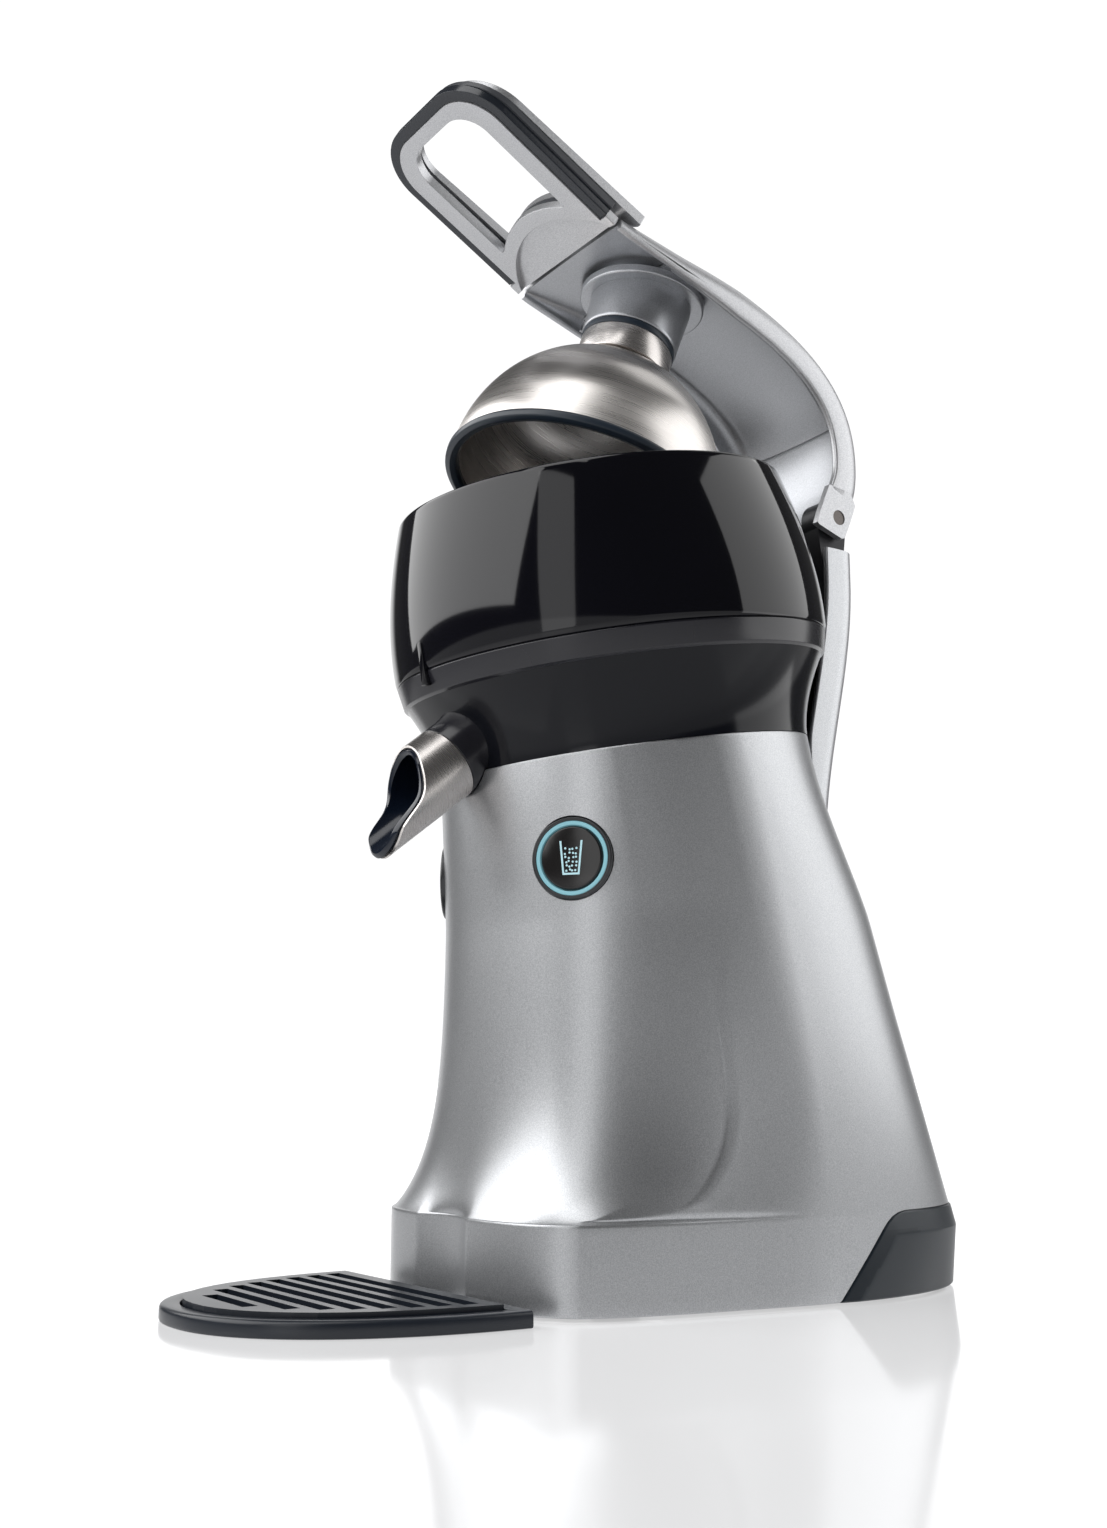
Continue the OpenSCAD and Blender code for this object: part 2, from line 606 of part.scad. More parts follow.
// ---------- collector, bowl and strainer ----------
ring_low = 31.35;
ring_high = 41.15;
collector_top_r = 84.9;
collector_wall = 2.6;
function funnel_r(h) = waist_r + (collector_top_r - waist_r) * pow(h / ring_low, 1.7);
funnel_steps = 8;
shaft_boss_r = 12;
shaft_bore = 10;
module collector_body() {
    outer = [for (i = [0 : funnel_steps]) let (h = ring_low * i / funnel_steps) [funnel_r(h), h]];
    inner = [for (i = [funnel_steps : -1 : 1]) let (h = mix(4, ring_low, i / funnel_steps))
        [funnel_r(h) - collector_wall, h]];
    rotate_extrude() polygon(concat([[0, 0.4], [waist_r - 0.3, 0]], outer, inner,
        [[waist_r - 6, 4], [shaft_boss_r + 2, 7], [shaft_boss_r, 9], [shaft_boss_r, 30], [0, 30]]));
}
module collector() {
    color(dark) difference() {
        on_bowl_axis() collector_body();
        on_bowl_axis(-5) cylinder(r = shaft_bore, h = 50);
        on_spout(-40) cylinder(r = 11, h = 32);
        on_spout(-10) cylinder(r = 13.3, h = 20);
    }
}
module collector_ring() {
    color(dark) on_bowl_axis() rotate_extrude() polygon([[collector_top_r - 5, ring_low],
        [collector_top_r, ring_low], [collector_top_r + 0.8, ring_low + 0.8], [collector_top_r + 3, ring_high - 0.8],
        [collector_top_r + 3, ring_high], [collector_top_r - 5, ring_high]]);
}
bowl_low_r = 88.3;
bowl_bulge = 1;
bowl_wall = 2.4;
function bowl_r(t) = mix(bowl_low_r, bowl_rim_r, pow(t, 1.9)) + bowl_bulge * sin(180 * pow(t, 0.75));
bowl_steps = 14;
module bowl() {
    h = bowl_top - ring_high;
    outer = [for (i = [0 : bowl_steps]) let (t = i / bowl_steps) [bowl_r(t), ring_high + h * t]];
    inner = [for (i = [bowl_steps : -1 : 0]) let (t = i / bowl_steps)
        [bowl_r(t) - bowl_wall, ring_high + 2.4 + (h - 2.4) * t]];
    color([0.03, 0.03, 0.05]) on_bowl_axis() rotate_extrude() polygon(concat(
        [[collector_top_r - 5, ring_high]], outer, inner, [[collector_top_r - 5, ring_high + 2.4]]));
}
strainer_top_r = collector_top_r - 5.3;
strainer_floor = 33;
strainer_floor_r = 42;
strainer_t = 1;
slot_n = 40;
module strainer() {
    color(steel) on_bowl_axis() difference() {
        rotate_extrude() polygon([[36, strainer_floor], [strainer_floor_r, strainer_floor],
            [strainer_top_r - 3, ring_high], [strainer_top_r, ring_high + 1], [strainer_top_r, ring_high + 2],
            [strainer_top_r - 3.4, ring_high + 2], [strainer_floor_r, strainer_floor + strainer_t],
            [36, strainer_floor + strainer_t]]);
        for (i = [0 : slot_n - 1]) rotate([0, 0, 360 * i / slot_n])
            translate([46, -0.7, strainer_floor - 2]) cube([24, 1.4, 12]);
    }
}
reamer_base = 36;
reamer_r = 35;
reamer_h = 50;
rib_n = 10;
module reamer() {
    cone = [for (i = [0 : 12]) let (a = 90 * i / 12) [(reamer_r - 5) * pow(cos(a), 0.9), reamer_base + reamer_h * sin(a)]];
    color(dark) on_bowl_axis() difference() {
        union() {
            rotate_extrude() polygon(concat([[0, reamer_base - 1], [reamer_r, reamer_base - 1],
                [reamer_r, reamer_base + 1.5]], cone));
            for (i = [0 : rib_n / 2 - 1]) rotate([90, 0, 180 * i / (rib_n / 2)]) translate([0, 0, -1.4])
                linear_extrude(2.8) polygon(concat([for (i = [0 : 12]) let (a = 90 * i / 12)
                    [(reamer_r - 2) * cos(a), reamer_base + (reamer_h + 2) * sin(a)]],
                    [for (i = [12 : -1 : 0]) let (a = 90 * i / 12)
                    [-(reamer_r - 2) * cos(a), reamer_base + (reamer_h + 2) * sin(a)]]));
        }
        translate([0, 0, reamer_base - 2]) cylinder(r = 7, h = 22);
    }
}

// ---------- spout ----------
// cut line of the mouth: distance along the spout against height across it
mouth_line = [[-16, 11.5], [-12, 14], [-7.4, 17.5], [-2, 21], [0.7, 23], [2.5, 25.4], [3.8, 28], [4.9, 31.5],
    [6, 36], [6.8, 37.8], [8.5, 39.4], [11, 41.4], [14, 44.4], [16, 46]];
module mouth_cut(back = 0) {
    rotate([0, 90, 0]) translate([0, 0, -30]) linear_extrude(60)
        polygon(concat([for (p = mouth_line) [-(p[1] - back), -p[0]]], [[-80, -16], [-80, 16]]));
}
module spout_collar() {
    color(dark) difference() {
        on_spout(-24) cylinder(r = spout_r, h = 24);
        on_spout(-40) cylinder(r = 11, h = 60);
        on_spout(-10) cylinder(r = 12.95, h = 60);
        on_bowl_axis(0) rotate_extrude() polygon(concat([[0, -20], [waist_r, -20]],
            [for (i = [0 : funnel_steps]) let (h = ring_low * i / funnel_steps) [funnel_r(h), h]], [[0, ring_low]]));
        on_bowl_axis(-30) cylinder(r = waist_r + 0.4, h = 30);
    }
}
module spout_sleeve() {
    color(steel) on_spout(0.3) difference() {
        tube(spout_r, spout_r - 1.3, 60);
        mouth_cut(2);
    }
}
module spout_liner() {
    color([0.07, 0.09, 0.13]) on_spout(0) difference() {
        union() {
            translate([0, 0, -9.5]) cylinder(r = 12.88, h = 12);
            translate([0, 0, 0.3]) cylinder(r = spout_r - 1.3, h = 60);
        }
        translate([0, 0, -20]) cylinder(r = 11.2, h = 120);
        mouth_cut();
    }
}

// ---------- drive ----------
shaft_r = 5;
module drive_shaft() {
    color(steel) on_bowl_axis() {
        translate([0, 0, -20]) cylinder(r = shaft_r, h = 54);
        translate([0, 0, 34]) cylinder(r = 6.9, h = 20);
    }
}
module shaft_bush() {
    color([0.7, 0.55, 0.3]) on_bowl_axis(-4) tube(shaft_bore, shaft_r + 0.05, 26);
}
module shaft_seal() {
    color([0.1, 0.1, 0.1]) on_bowl_axis(24) tube(shaft_bore, shaft_r + 0.1, 5);
}
// involute gear outline
function involute(base, t) = [base * (cos(t) + t * PI / 180 * sin(t)), base * (sin(t) - t * PI / 180 * cos(t))];
function involute_t(base, r) = sqrt(max(0, r * r / (base * base) - 1)) * 180 / PI;
function polar_angle(p) = atan2(p[1], p[0]);
backlash = 0.12;
function gear_points(teeth) =
    let (rp = gear_m * teeth / 2, rb = rp * cos(20), ro = rp + 0.9 * gear_m, rr = rp - 1.2 * gear_m,
        r0 = max(rb, rr), at_pitch = polar_angle(involute(rb, involute_t(rb, rp))),
        half = 90 / teeth - backlash / 2 / rp * 180 / PI)
    [for (k = [0 : teeth - 1]) let (mid = 360 * k / teeth) each concat(
        [polar(rr, mid - half - at_pitch)],
        [for (s = [0 : 3]) let (r = mix(r0 + 0.01, ro, s / 3), a = polar_angle(involute(rb, involute_t(rb, r))))
            polar(r, mid - half - at_pitch + a)],
        [for (s = [3 : -1 : 0]) let (r = mix(r0 + 0.01, ro, s / 3), a = polar_angle(involute(rb, involute_t(rb, r))))
            polar(r, mid + half + at_pitch - a)],
        [polar(rr, mid + half + at_pitch)])];
function polar(r, a) = [r * cos(a), r * sin(a)];
module gear(teeth, h, bore, phase = 0) {
    linear_extrude(h) difference() {
        rotate(phase) polygon(gear_points(teeth));
        if (bore > 0) circle(r = bore);
    }
}
// the middle gear's axle stands behind the reamer axis, at the meshing distance
mesh_dist = gear_m * (big_teeth + small_teeth) / 2;
output_low = -20;
middle_low = -36;
module output_gear() {
    color([0.85, 0.83, 0.75]) on_bowl_axis(output_low) gear(big_teeth, 10, shaft_r, 90 + 180 / big_teeth);
}
module middle_gear() {
    color([0.8, 0.78, 0.7]) on_bowl_axis(middle_low) translate([0, mesh_dist, 0]) {
        gear(big_teeth, 8, 4.05, 90);
        translate([0, 0, 8]) gear(small_teeth, 17.5, 4.05, 90);
    }
}
module middle_axle() {
    color(steel) on_bowl_axis(-41.5) translate([0, mesh_dist, 0]) cylinder(r = 4, h = 37.5);
}
plate_r = 66;
plate_front = -38;
post_spots = [[-46, -28], [46, -28], [-52, 22], [52, 22]];
module gear_plate(h0, hole) {
    on_bowl_axis(h0) difference() {
        intersection() {
            cylinder(r = plate_r, h = 3);
            translate([-plate_r, plate_front, -1]) cube([2 * plate_r, 2 * plate_r, 5]);
        }
        translate([0, 0, -1]) cylinder(r = hole, h = 5);
        translate([0, mesh_dist, -1]) cylinder(r = 4, h = 5);
        for (p = post_spots) translate([p[0], p[1], -1]) cylinder(r = 2, h = 5);
    }
}
module gear_plate_upper() { color([0.5, 0.5, 0.52]) gear_plate(-7.5, 10.2); }
module gear_plate_lower() { color([0.5, 0.5, 0.52]) gear_plate(-41.5, 10); }
module gearbox_pillars() {
    color(steel) on_bowl_axis() for (p = post_spots) translate([p[0], p[1], 0]) {
        translate([0, 0, -38.5]) cylinder(r = 4, h = 31);
        translate([0, 0, -45]) cylinder(r = 2, h = 42);
        translate([0, 0, -4.5]) cylinder(r = 4, h = 4.5);
    }
}
can_top = -41.6;
can_h = 78;
can_r = 38;
module motor_can() {
    color([0.55, 0.56, 0.58]) on_bowl_axis(can_top - can_h) difference() {
        cylinder(r = can_r, h = can_h);
        translate([0, 0, -1]) cylinder(r = can_r - 2, h = can_h - 2);
        cylinder(r = 4.05, h = can_h + 2);
    }
}
module motor_magnets() {
    color([0.2, 0.2, 0.22]) on_bowl_axis(can_top - can_h + 10) difference() {
        tube(can_r - 2, can_r - 9, can_h - 20);
        for (x = [-1, 1]) translate([x * 40 - 20, -6, -1]) cube([40, 12, can_h]);
    }
}
module motor_end_cap() {
    color([0.5, 0.5, 0.52]) on_bowl_axis(can_top - can_h) difference() {
        cylinder(r = can_r - 2, h = 4);
        translate([0, 0, -1]) cylinder(r = 4.05, h = 6);
    }
}
module motor_rotor() {
    color([0.6, 0.4, 0.25]) on_bowl_axis(can_top - can_h) {
        translate([0, 0, -3]) cylinder(r = 4, h = can_h + 10);
        translate([0, 0, 12]) cylinder(r = can_r - 10, h = can_h - 26);
        translate([0, 0, 6]) cylinder(r = 12, h = 5);
    }
    color(steel) on_bowl_axis(middle_low + 0.5) gear(small_teeth, 7, 0, 90 + 180 / small_teeth);
}

// ---------- buttons and electrics ----------
bezel_out = 15.3;
bezel_in = 13.7;
module button_bezels() {
    color(dark) for (side = [-1, 1]) at_button(side) rotate_extrude() polygon([[bezel_in, -7], [bezel_out, -7],
        [bezel_out, 0.8], [bezel_out - 0.5, 1.3], [bezel_in, 1.3]]);
}
module button_light_rings() {
    color([0.45, 0.75, 0.85]) for (side = [-1, 1]) at_button(side) translate([0, 0, -7])
        tube(bezel_in, 12.1, 8.1);
}
module button_cap(side) {
    color([0.06, 0.04, 0.03]) at_button(side) {
        rotate_extrude() polygon([[0, -4.5], [11.75, -4.5], [11.75, 0.6], [11.2, 1.4], [6, 1.7], [0, 1.8]]);
        translate([0, 0, -12]) cylinder(r = 3, h = 8);
    }
}
module button_cap_left() { button_cap(-1); }
module button_cap_right() { button_cap(1); }
module button_carriers() {
    color([0.15, 0.15, 0.16]) for (side = [-1, 1]) at_button(side) translate([0, 0, -9.5]) tube(bezel_out, 3.3, 2.5);
}
module micro_switches() {
    color([0.1, 0.1, 0.3]) for (side = [-1, 1]) at_button(side) translate([-6, -4, -22]) cube([12, 8, 8.2]);
}
module control_board() {
    color([0.05, 0.3, 0.15]) translate([0, 62, plate_top]) {
        translate([-28, -20, 7]) cube([56, 40, 1.6]);
        for (x = [-24, 24], y = [-16, 16]) translate([x, y, 0.02]) cylinder(r = 2.6, h = 7);
    }
}
gland_z = 16;
gland_r = 7;
module cord_gland() {
    color([0.05, 0.05, 0.05]) translate([0, 154.7, gland_z]) rotate([-90, 0, 0]) {
        tube(gland_r, 3.6, 8);
        tube(gland_r + 1.6, 3.6, 1.6);
    }
}

// ---------- drip tray ----------
tray_back = -64;
tray_n = 2.2;
rib_pitch = 9;
function tray_points(inset, n = 28) = [for (i = [0 : n]) let (a = 180 * i / n,
        c = cos(a), s = sin(a))
    [sign(c) * (tray_half_w - inset) * pow(abs(c), 2 / tray_n),
        tray_back - (tray_len - inset) * pow(s, 2 / tray_n)]];
module drip_tray() {
    color([0.05, 0.06, 0.09]) difference() {
        linear_extrude(tray_h) polygon(tray_points(0));
        translate([0, 0, 1.8]) linear_extrude(10) intersection() {
            polygon(tray_points(7));
            translate([-100, -200]) square([200, 200 + tray_back - 6]);
        }
    }
}
module tray_grille() {
    color([0.06, 0.07, 0.1]) difference() {
        translate([0, 0, 1.9]) linear_extrude(5.4) intersection() {
            polygon(tray_points(7.6));
            translate([-100, -200]) square([200, 200 + tray_back - 6.6]);
        }
        for (i = [0 : 7]) let (y = tray_back - 18 - rib_pitch * i)
            translate([-slot_half(y), y, 0]) cube([2 * slot_half(y), rib_pitch - 3.4, 20]);
    }
}
function slot_half(y) =
    (tray_half_w - 13) * pow(1 - pow(min(0.97, (tray_back - y + 2) / (tray_len - 12)), tray_n), 1 / tray_n);

housing();
base_plate();
rubber_feet();
base_screws();
rear_foot_cover();
spine_cover();
hinge_frame();
hinge_bushes();
hinge_washers();
hinge_screws();
hinge_pin();
lever_arm();
arm_inner_cover();
handle_frame();
handle_lower_grip();
handle_upper_grip();
handle_cover();
press_sleeve();
dome_gasket();
dome_neck();
dome_screw();
press_dome();
dome_rim_seal();
collector();
collector_ring();
bowl();
strainer();
spout_collar();
spout_sleeve();
spout_liner();
reamer();
drive_shaft();
shaft_bush();
shaft_seal();
output_gear();
middle_gear();
middle_axle();
motor_rotor();
motor_can();
motor_magnets();
motor_end_cap();
gear_plate_upper();
gear_plate_lower();
gearbox_pillars();
button_bezels();
button_light_rings();
button_cap_left();
button_cap_right();
button_carriers();
micro_switches();
control_board();
cord_gland();
drip_tray();
tray_grille();
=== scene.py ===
"""Lever citrus press: the visual model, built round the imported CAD.

Lengths are in millimetres until a mesh is made.
"""
import math

import bmesh
import bpy
from mathutils import Matrix, Vector


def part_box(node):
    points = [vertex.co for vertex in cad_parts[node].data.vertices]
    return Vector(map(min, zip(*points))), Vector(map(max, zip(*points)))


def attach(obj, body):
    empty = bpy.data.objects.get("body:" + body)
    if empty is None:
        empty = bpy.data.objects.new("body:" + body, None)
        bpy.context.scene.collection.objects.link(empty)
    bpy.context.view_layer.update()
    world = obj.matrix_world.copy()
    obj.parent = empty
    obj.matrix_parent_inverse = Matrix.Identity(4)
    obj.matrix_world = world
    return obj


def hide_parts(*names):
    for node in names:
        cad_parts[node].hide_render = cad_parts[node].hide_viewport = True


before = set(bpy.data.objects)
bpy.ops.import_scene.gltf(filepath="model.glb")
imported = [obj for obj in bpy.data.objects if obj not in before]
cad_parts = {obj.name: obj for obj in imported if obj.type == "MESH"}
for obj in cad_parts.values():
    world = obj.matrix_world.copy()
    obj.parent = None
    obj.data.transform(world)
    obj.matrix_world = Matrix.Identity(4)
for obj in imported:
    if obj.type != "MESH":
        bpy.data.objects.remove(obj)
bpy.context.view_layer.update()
MM = 0.001


# ---------------- small helpers
def mix(a, b, t):
    return a + (b - a) * t


def clamp01(t):
    return min(1.0, max(0.0, t))


def smooth(t):
    t = clamp01(t)
    return t * t * (3 - 2 * t)


def sind(a):
    return math.sin(math.radians(a))


def cosd(a):
    return math.cos(math.radians(a))


def turn(angle, axis):
    return Matrix.Rotation(math.radians(angle), 4, axis)


def shift(x, y, z):
    return Matrix.Translation((x, y, z))


def along(line, x):
    """Straight-line interpolation in a list of (x, y)."""
    if x <= line[0][0]:
        return line[0][1]
    for (x0, y0), (x1, y1) in zip(line, line[1:]):
        if x <= x1:
            return mix(y0, y1, (x - x0) / (x1 - x0))
    return line[-1][1]


def rounded(points, radius, n=5):
    """Closed outline with rounded corners; radius is one number or one for each corner."""
    out, count = [], len(points)
    for i, p in enumerate(points):
        r = radius[i] if isinstance(radius, (list, tuple)) else radius
        p, a, b = Vector(p), Vector(points[i - 1]), Vector(points[(i + 1) % count])
        ua, ub = a - p, b - p
        la, lb = ua.length, ub.length
        if r <= 0 or la < 1e-6 or lb < 1e-6:
            out.append(tuple(p))
            continue
        ua, ub = ua / la, ub / lb
        angle = math.acos(max(-1, min(1, ua.dot(ub))))
        if angle > math.radians(176):
            out.append(tuple(p))
            continue
        t = min(r / math.tan(angle / 2), 0.48 * la, 0.48 * lb)
        for k in range(n + 1):
            s = k / n
            q = (p + ua * t) * (1 - s) ** 2 + p * 2 * s * (1 - s) + (p + ub * t) * s * s
            out.append(tuple(q))
    return out


# ---------------- the object's frames and sizes
# BOWL and DOME stand on the axes of the bowl and the press dome, and SPOUT's z runs forwards down the spout
WAIST_Y, WAIST_Z, WAIST_R, BOWL_TILT = 22.0, 206.9, 74.7, 9.34
BOWL = shift(0, WAIST_Y, WAIST_Z) @ turn(BOWL_TILT, "X")
DOME = shift(0, 25.7, 389.8) @ turn(-19, "X")
SPOUT = shift(0, -62, 197.8) @ turn(128, "X")
HANDLE = shift(0, -10.5, 421.9) @ turn(180, "Z") @ turn(29.8, "X")
WORLD = Matrix.Identity(4)
ARM_HALF, SPOUT_R = 38.0, 14.7


def button_frame(side):
    """The left (-1) or right (1) button's place, with z straight out of the column."""
    return shift(side * 45.2, -34.25, 158.7) @ turn(side * 37.9, "Z") @ turn(90, "X")


# ---------------- materials
NOISE_LOW, NOISE_HIGH = 0.3, 0.7
BRUSH_TURN = 0.0005  # shortens the way round an axis, which draws noise out into lines
BUMP_DEPTH = 0.0002


def fill(node, **values):
    """Sets a node's own sockets; an underscore stands for a space in a socket's name."""
    for key, value in values.items():
        node.inputs[key.replace("_", " ")].default_value = value


def link(tree, a, out, b, into):
    tree.links.new(a.outputs[out], b.inputs[into])


def round_place(tree, coords):
    """Places that stretch round the piece's own axis, so that noise there runs in lines round it."""
    new = tree.nodes.new
    parts, flat = new("ShaderNodeSeparateXYZ"), new("ShaderNodeCombineXYZ")
    length = new("ShaderNodeVectorMath")
    length.operation = "LENGTH"
    link(tree, coords, "Object", parts, "Vector")
    link(tree, parts, "X", flat, "X")
    link(tree, parts, "Y", flat, "Y")
    link(tree, flat, "Vector", length, 0)
    turned, fine = new("ShaderNodeMath"), new("ShaderNodeMath")
    turned.operation, fine.operation = "ARCTAN2", "MULTIPLY"
    link(tree, parts, "Y", turned, 0)
    link(tree, parts, "X", turned, 1)
    fine.inputs[1].default_value = BRUSH_TURN
    link(tree, turned, "Value", fine, 0)
    place = new("ShaderNodeCombineXYZ")
    link(tree, fine, "Value", place, "X")
    link(tree, length, "Value", place, "Y")
    link(tree, parts, "Z", place, "Z")
    return place


def noise(tree, source, out, scale, detail):
    node = tree.nodes.new("ShaderNodeTexNoise")
    fill(node, Scale=scale, Detail=detail)
    link(tree, source, out, node, "Vector")
    return node


def drifting_colour(tree, drift, base, vary):
    """The base colour, a little darker and lighter by turns."""
    ramp = tree.nodes.new("ShaderNodeValToRGB")
    low, high = ramp.color_ramp.elements
    low.position, high.position = NOISE_LOW, NOISE_HIGH
    low.color = (*[c * (1 - vary) for c in base], 1)
    high.color = (*[min(1, c * (1 + vary)) for c in base], 1)
    link(tree, drift, "Fac", ramp, "Fac")
    return ramp


def metal_flecks(tree, ramp, fine_noise, amount):
    """The paint's colour with the fine noise laid over it."""
    blend, shade = tree.nodes.new("ShaderNodeMix"), tree.nodes.new("ShaderNodeValToRGB")
    blend.data_type, blend.blend_type = "RGBA", "OVERLAY"
    fill(blend, Factor=amount)
    shade.color_ramp.elements[0].position, shade.color_ramp.elements[1].position = 0.35, 0.65
    link(tree, fine_noise, "Fac", shade, "Fac")
    link(tree, ramp, "Color", blend, "A")
    link(tree, shade, "Color", blend, "B")
    return blend


def surface(name, base, rough, metal=0.0, vary=0.05, scale=14.0, rough_vary=0.04, grain=0.03,
            grain_scale=1500.0, coat=0.0, coat_rough=0.06, specular=0.5, stretch=(1, 1, 1), aniso=0.0,
            flecks=0.0, round_brush=False, sheen=0.0, emission=None, glow=0.35):
    """Procedural finish: soft colour drift, uneven gloss and a fine bump, from noise in the piece's frame."""
    mat = bpy.data.materials.new(name)
    mat.use_nodes = True
    tree = mat.node_tree
    bsdf = tree.nodes["Principled BSDF"]
    fill(bsdf, Metallic=metal, Specular_IOR_Level=specular, Coat_Weight=coat, Coat_Roughness=coat_rough,
         Anisotropic=aniso, Sheen_Weight=sheen)
    if emission:
        fill(bsdf, Emission_Color=(*emission, 1), Emission_Strength=glow)
    coords = tree.nodes.new("ShaderNodeTexCoord")
    if round_brush:
        place = round_place(tree, coords)
    else:
        place = tree.nodes.new("ShaderNodeMapping")
        fill(place, Scale=stretch)
        link(tree, coords, "Object", place, "Vector")
    drift = noise(tree, coords, "Object", scale, 3)
    fine_noise = noise(tree, place, "Vector", grain_scale, 2)
    ramp = drifting_colour(tree, drift, base, vary)
    if flecks:
        link(tree, metal_flecks(tree, ramp, fine_noise, flecks), "Result", bsdf, "Base Color")
    else:
        link(tree, ramp, "Color", bsdf, "Base Color")
    gloss = tree.nodes.new("ShaderNodeMapRange")
    fill(gloss, From_Min=NOISE_LOW, From_Max=NOISE_HIGH, To_Min=max(0.01, rough - rough_vary),
         To_Max=rough + rough_vary)
    link(tree, fine_noise if round_brush or flecks else drift, "Fac", gloss, "Value")
    link(tree, gloss, "Result", bsdf, "Roughness")
    if grain:
        bump = tree.nodes.new("ShaderNodeBump")
        fill(bump, Strength=grain, Distance=BUMP_DEPTH)
        link(tree, fine_noise, "Fac", bump, "Height")
        link(tree, bump, "Normal", bsdf, "Normal")
    if aniso:
        tangent = tree.nodes.new("ShaderNodeTangent")
        tangent.direction_type, tangent.axis = "RADIAL", "Z"
        link(tree, tangent, "Tangent", bsdf, "Tangent")
    return mat


SILVER = surface("silver_paint", (0.50, 0.51, 0.525), 0.36, metal=0.88, vary=0.015, rough_vary=0.03,
                 grain=0.04, grain_scale=2600, flecks=0.16, coat=0.25, coat_rough=0.22)
CASTING = surface("silver_casting_paint", (0.52, 0.525, 0.54), 0.38, metal=0.85, vary=0.02, rough_vary=0.03,
                  grain=0.05, grain_scale=2200, flecks=0.16, coat=0.2, coat_rough=0.25)
# a darker copy of the casting paint: painted shade for the faces inside and under the arm
SHADED_SILVER = surface("silver_paint_painted_shade", (0.40, 0.41, 0.43), 0.34, metal=0.85, vary=0.04, grain=0.05,
                       grain_scale=2200, flecks=0.14, coat=0.2, coat_rough=0.2)
BRUSHED = surface("dome_steel", (0.70, 0.67, 0.645), 0.29, metal=1.0, vary=0.015, rough_vary=0.03,
                  grain_scale=2600, round_brush=True, aniso=0.8)
TUBE_STEEL = surface("tube_steel", (0.62, 0.59, 0.57), 0.27, metal=1.0, vary=0.015, rough_vary=0.02,
                     grain=0.014, grain_scale=2600, round_brush=True, aniso=0.5)
PLATED = surface("plated_steel", (0.62, 0.62, 0.63), 0.3, metal=1.0, vary=0.04, grain=0.04, round_brush=True)
PIN_STEEL = surface("pin_steel", (0.11, 0.10, 0.095), 0.3, metal=1.0, grain=0.05, round_brush=True)
GLOSS_BLACK = surface("gloss_black_plastic", (0.002, 0.002, 0.004), 0.06, vary=0.2, rough_vary=0.012,
                      grain=0.004, grain_scale=500, specular=0.42)
FUNNEL_BLACK = surface("funnel_black_plastic", (0.003, 0.0035, 0.006), 0.13, vary=0.2, rough_vary=0.02,
                       grain=0.01, grain_scale=700, specular=0.26)
SATIN_BLACK = surface("satin_black_plastic", (0.012, 0.012, 0.016), 0.22, vary=0.15, rough_vary=0.03,
                      grain_scale=1600)
SLATE = surface("slate_plastic", (0.018, 0.025, 0.033), 0.34, vary=0.08, rough_vary=0.03, grain=0.08,
                grain_scale=1900)
# a darker copy of the slate plastic: painted shade on the foot cover's front border next to the housing
SLATE_PAINTED_SHADE = surface("slate_plastic_painted_shade", (0.009, 0.015, 0.022), 0.3, vary=0.08, rough_vary=0.03,
                     grain=0.08, grain_scale=1900)
GRIP_BLACK = surface("grip_lower_black", (0.014, 0.017, 0.023), 0.2, vary=0.12, rough_vary=0.03,
                     grain_scale=1700)
GRIP_GREY = surface("grip_upper_grey", (0.05, 0.053, 0.06), 0.36, vary=0.08, grain=0.1, grain_scale=1900)
RUBBER = surface("seal_rubber", (0.012, 0.02, 0.032), 0.36, vary=0.15, grain=0.08, grain_scale=1300)
LINER = surface("liner_plastic", (0.006, 0.010, 0.020), 0.16, vary=0.15, rough_vary=0.03, grain=0.02)
TRAY = surface("tray_plastic", (0.014, 0.018, 0.026), 0.3, vary=0.1, rough_vary=0.03, grain=0.05,
               grain_scale=1700)
CAP_BLACK = surface("button_cap_black", (0.010, 0.009, 0.009), 0.16, vary=0.15, rough_vary=0.03, grain=0.02)
BEZEL = surface("button_bezel_grey", (0.035, 0.037, 0.04), 0.25, vary=0.1, metal=0.3)
LIGHT_BLUE = surface("button_light", (0.20, 0.42, 0.48), 0.35, grain=0.02, emission=(0.18, 0.40, 0.46))
SYMBOL = surface("button_symbol", (0.45, 0.68, 0.74), 0.4, vary=0.03, grain=0.02, emission=(0.30, 0.46, 0.50))
BRONZE = surface("bearing_bronze", (0.62, 0.42, 0.2), 0.35, metal=1.0, vary=0.08, grain=0.06, round_brush=True)
ZINC = surface("zinc_sheet", (0.5, 0.51, 0.53), 0.42, metal=0.9, vary=0.08, scale=60, grain=0.05)
GEAR_WHITE = surface("gear_acetal", (0.78, 0.76, 0.68), 0.4, vary=0.03, sheen=0.05)
COPPER = surface("rotor_windings", (0.5, 0.25, 0.1), 0.4, metal=0.8, vary=0.12, grain=0.2, grain_scale=900,
                 stretch=(6, 6, 1))
MAGNET = surface("magnet_ceramic", (0.05, 0.05, 0.055), 0.6, vary=0.1, grain=0.1)
BOARD = surface("board_green", (0.02, 0.16, 0.07), 0.35, vary=0.15, scale=220, grain=0.04)
HINGE_BLACK = surface("hinge_black", (0.02, 0.02, 0.023), 0.4, metal=0.4, vary=0.1, grain=0.08)


# ---------------- making pieces
MERGE = 1e-6
TURNED_STEPS = 144


def add_object(name, data):
    ob = bpy.data.objects.new(name, data)
    bpy.context.scene.collection.objects.link(ob)
    return ob


def smooth_shading(me, sharp):
    """Smooth faces, with edges kept sharp above an angle in degrees."""
    me.polygons.foreach_set("use_smooth", [True] * len(me.polygons))
    me.set_sharp_from_angle(angle=math.radians(sharp))


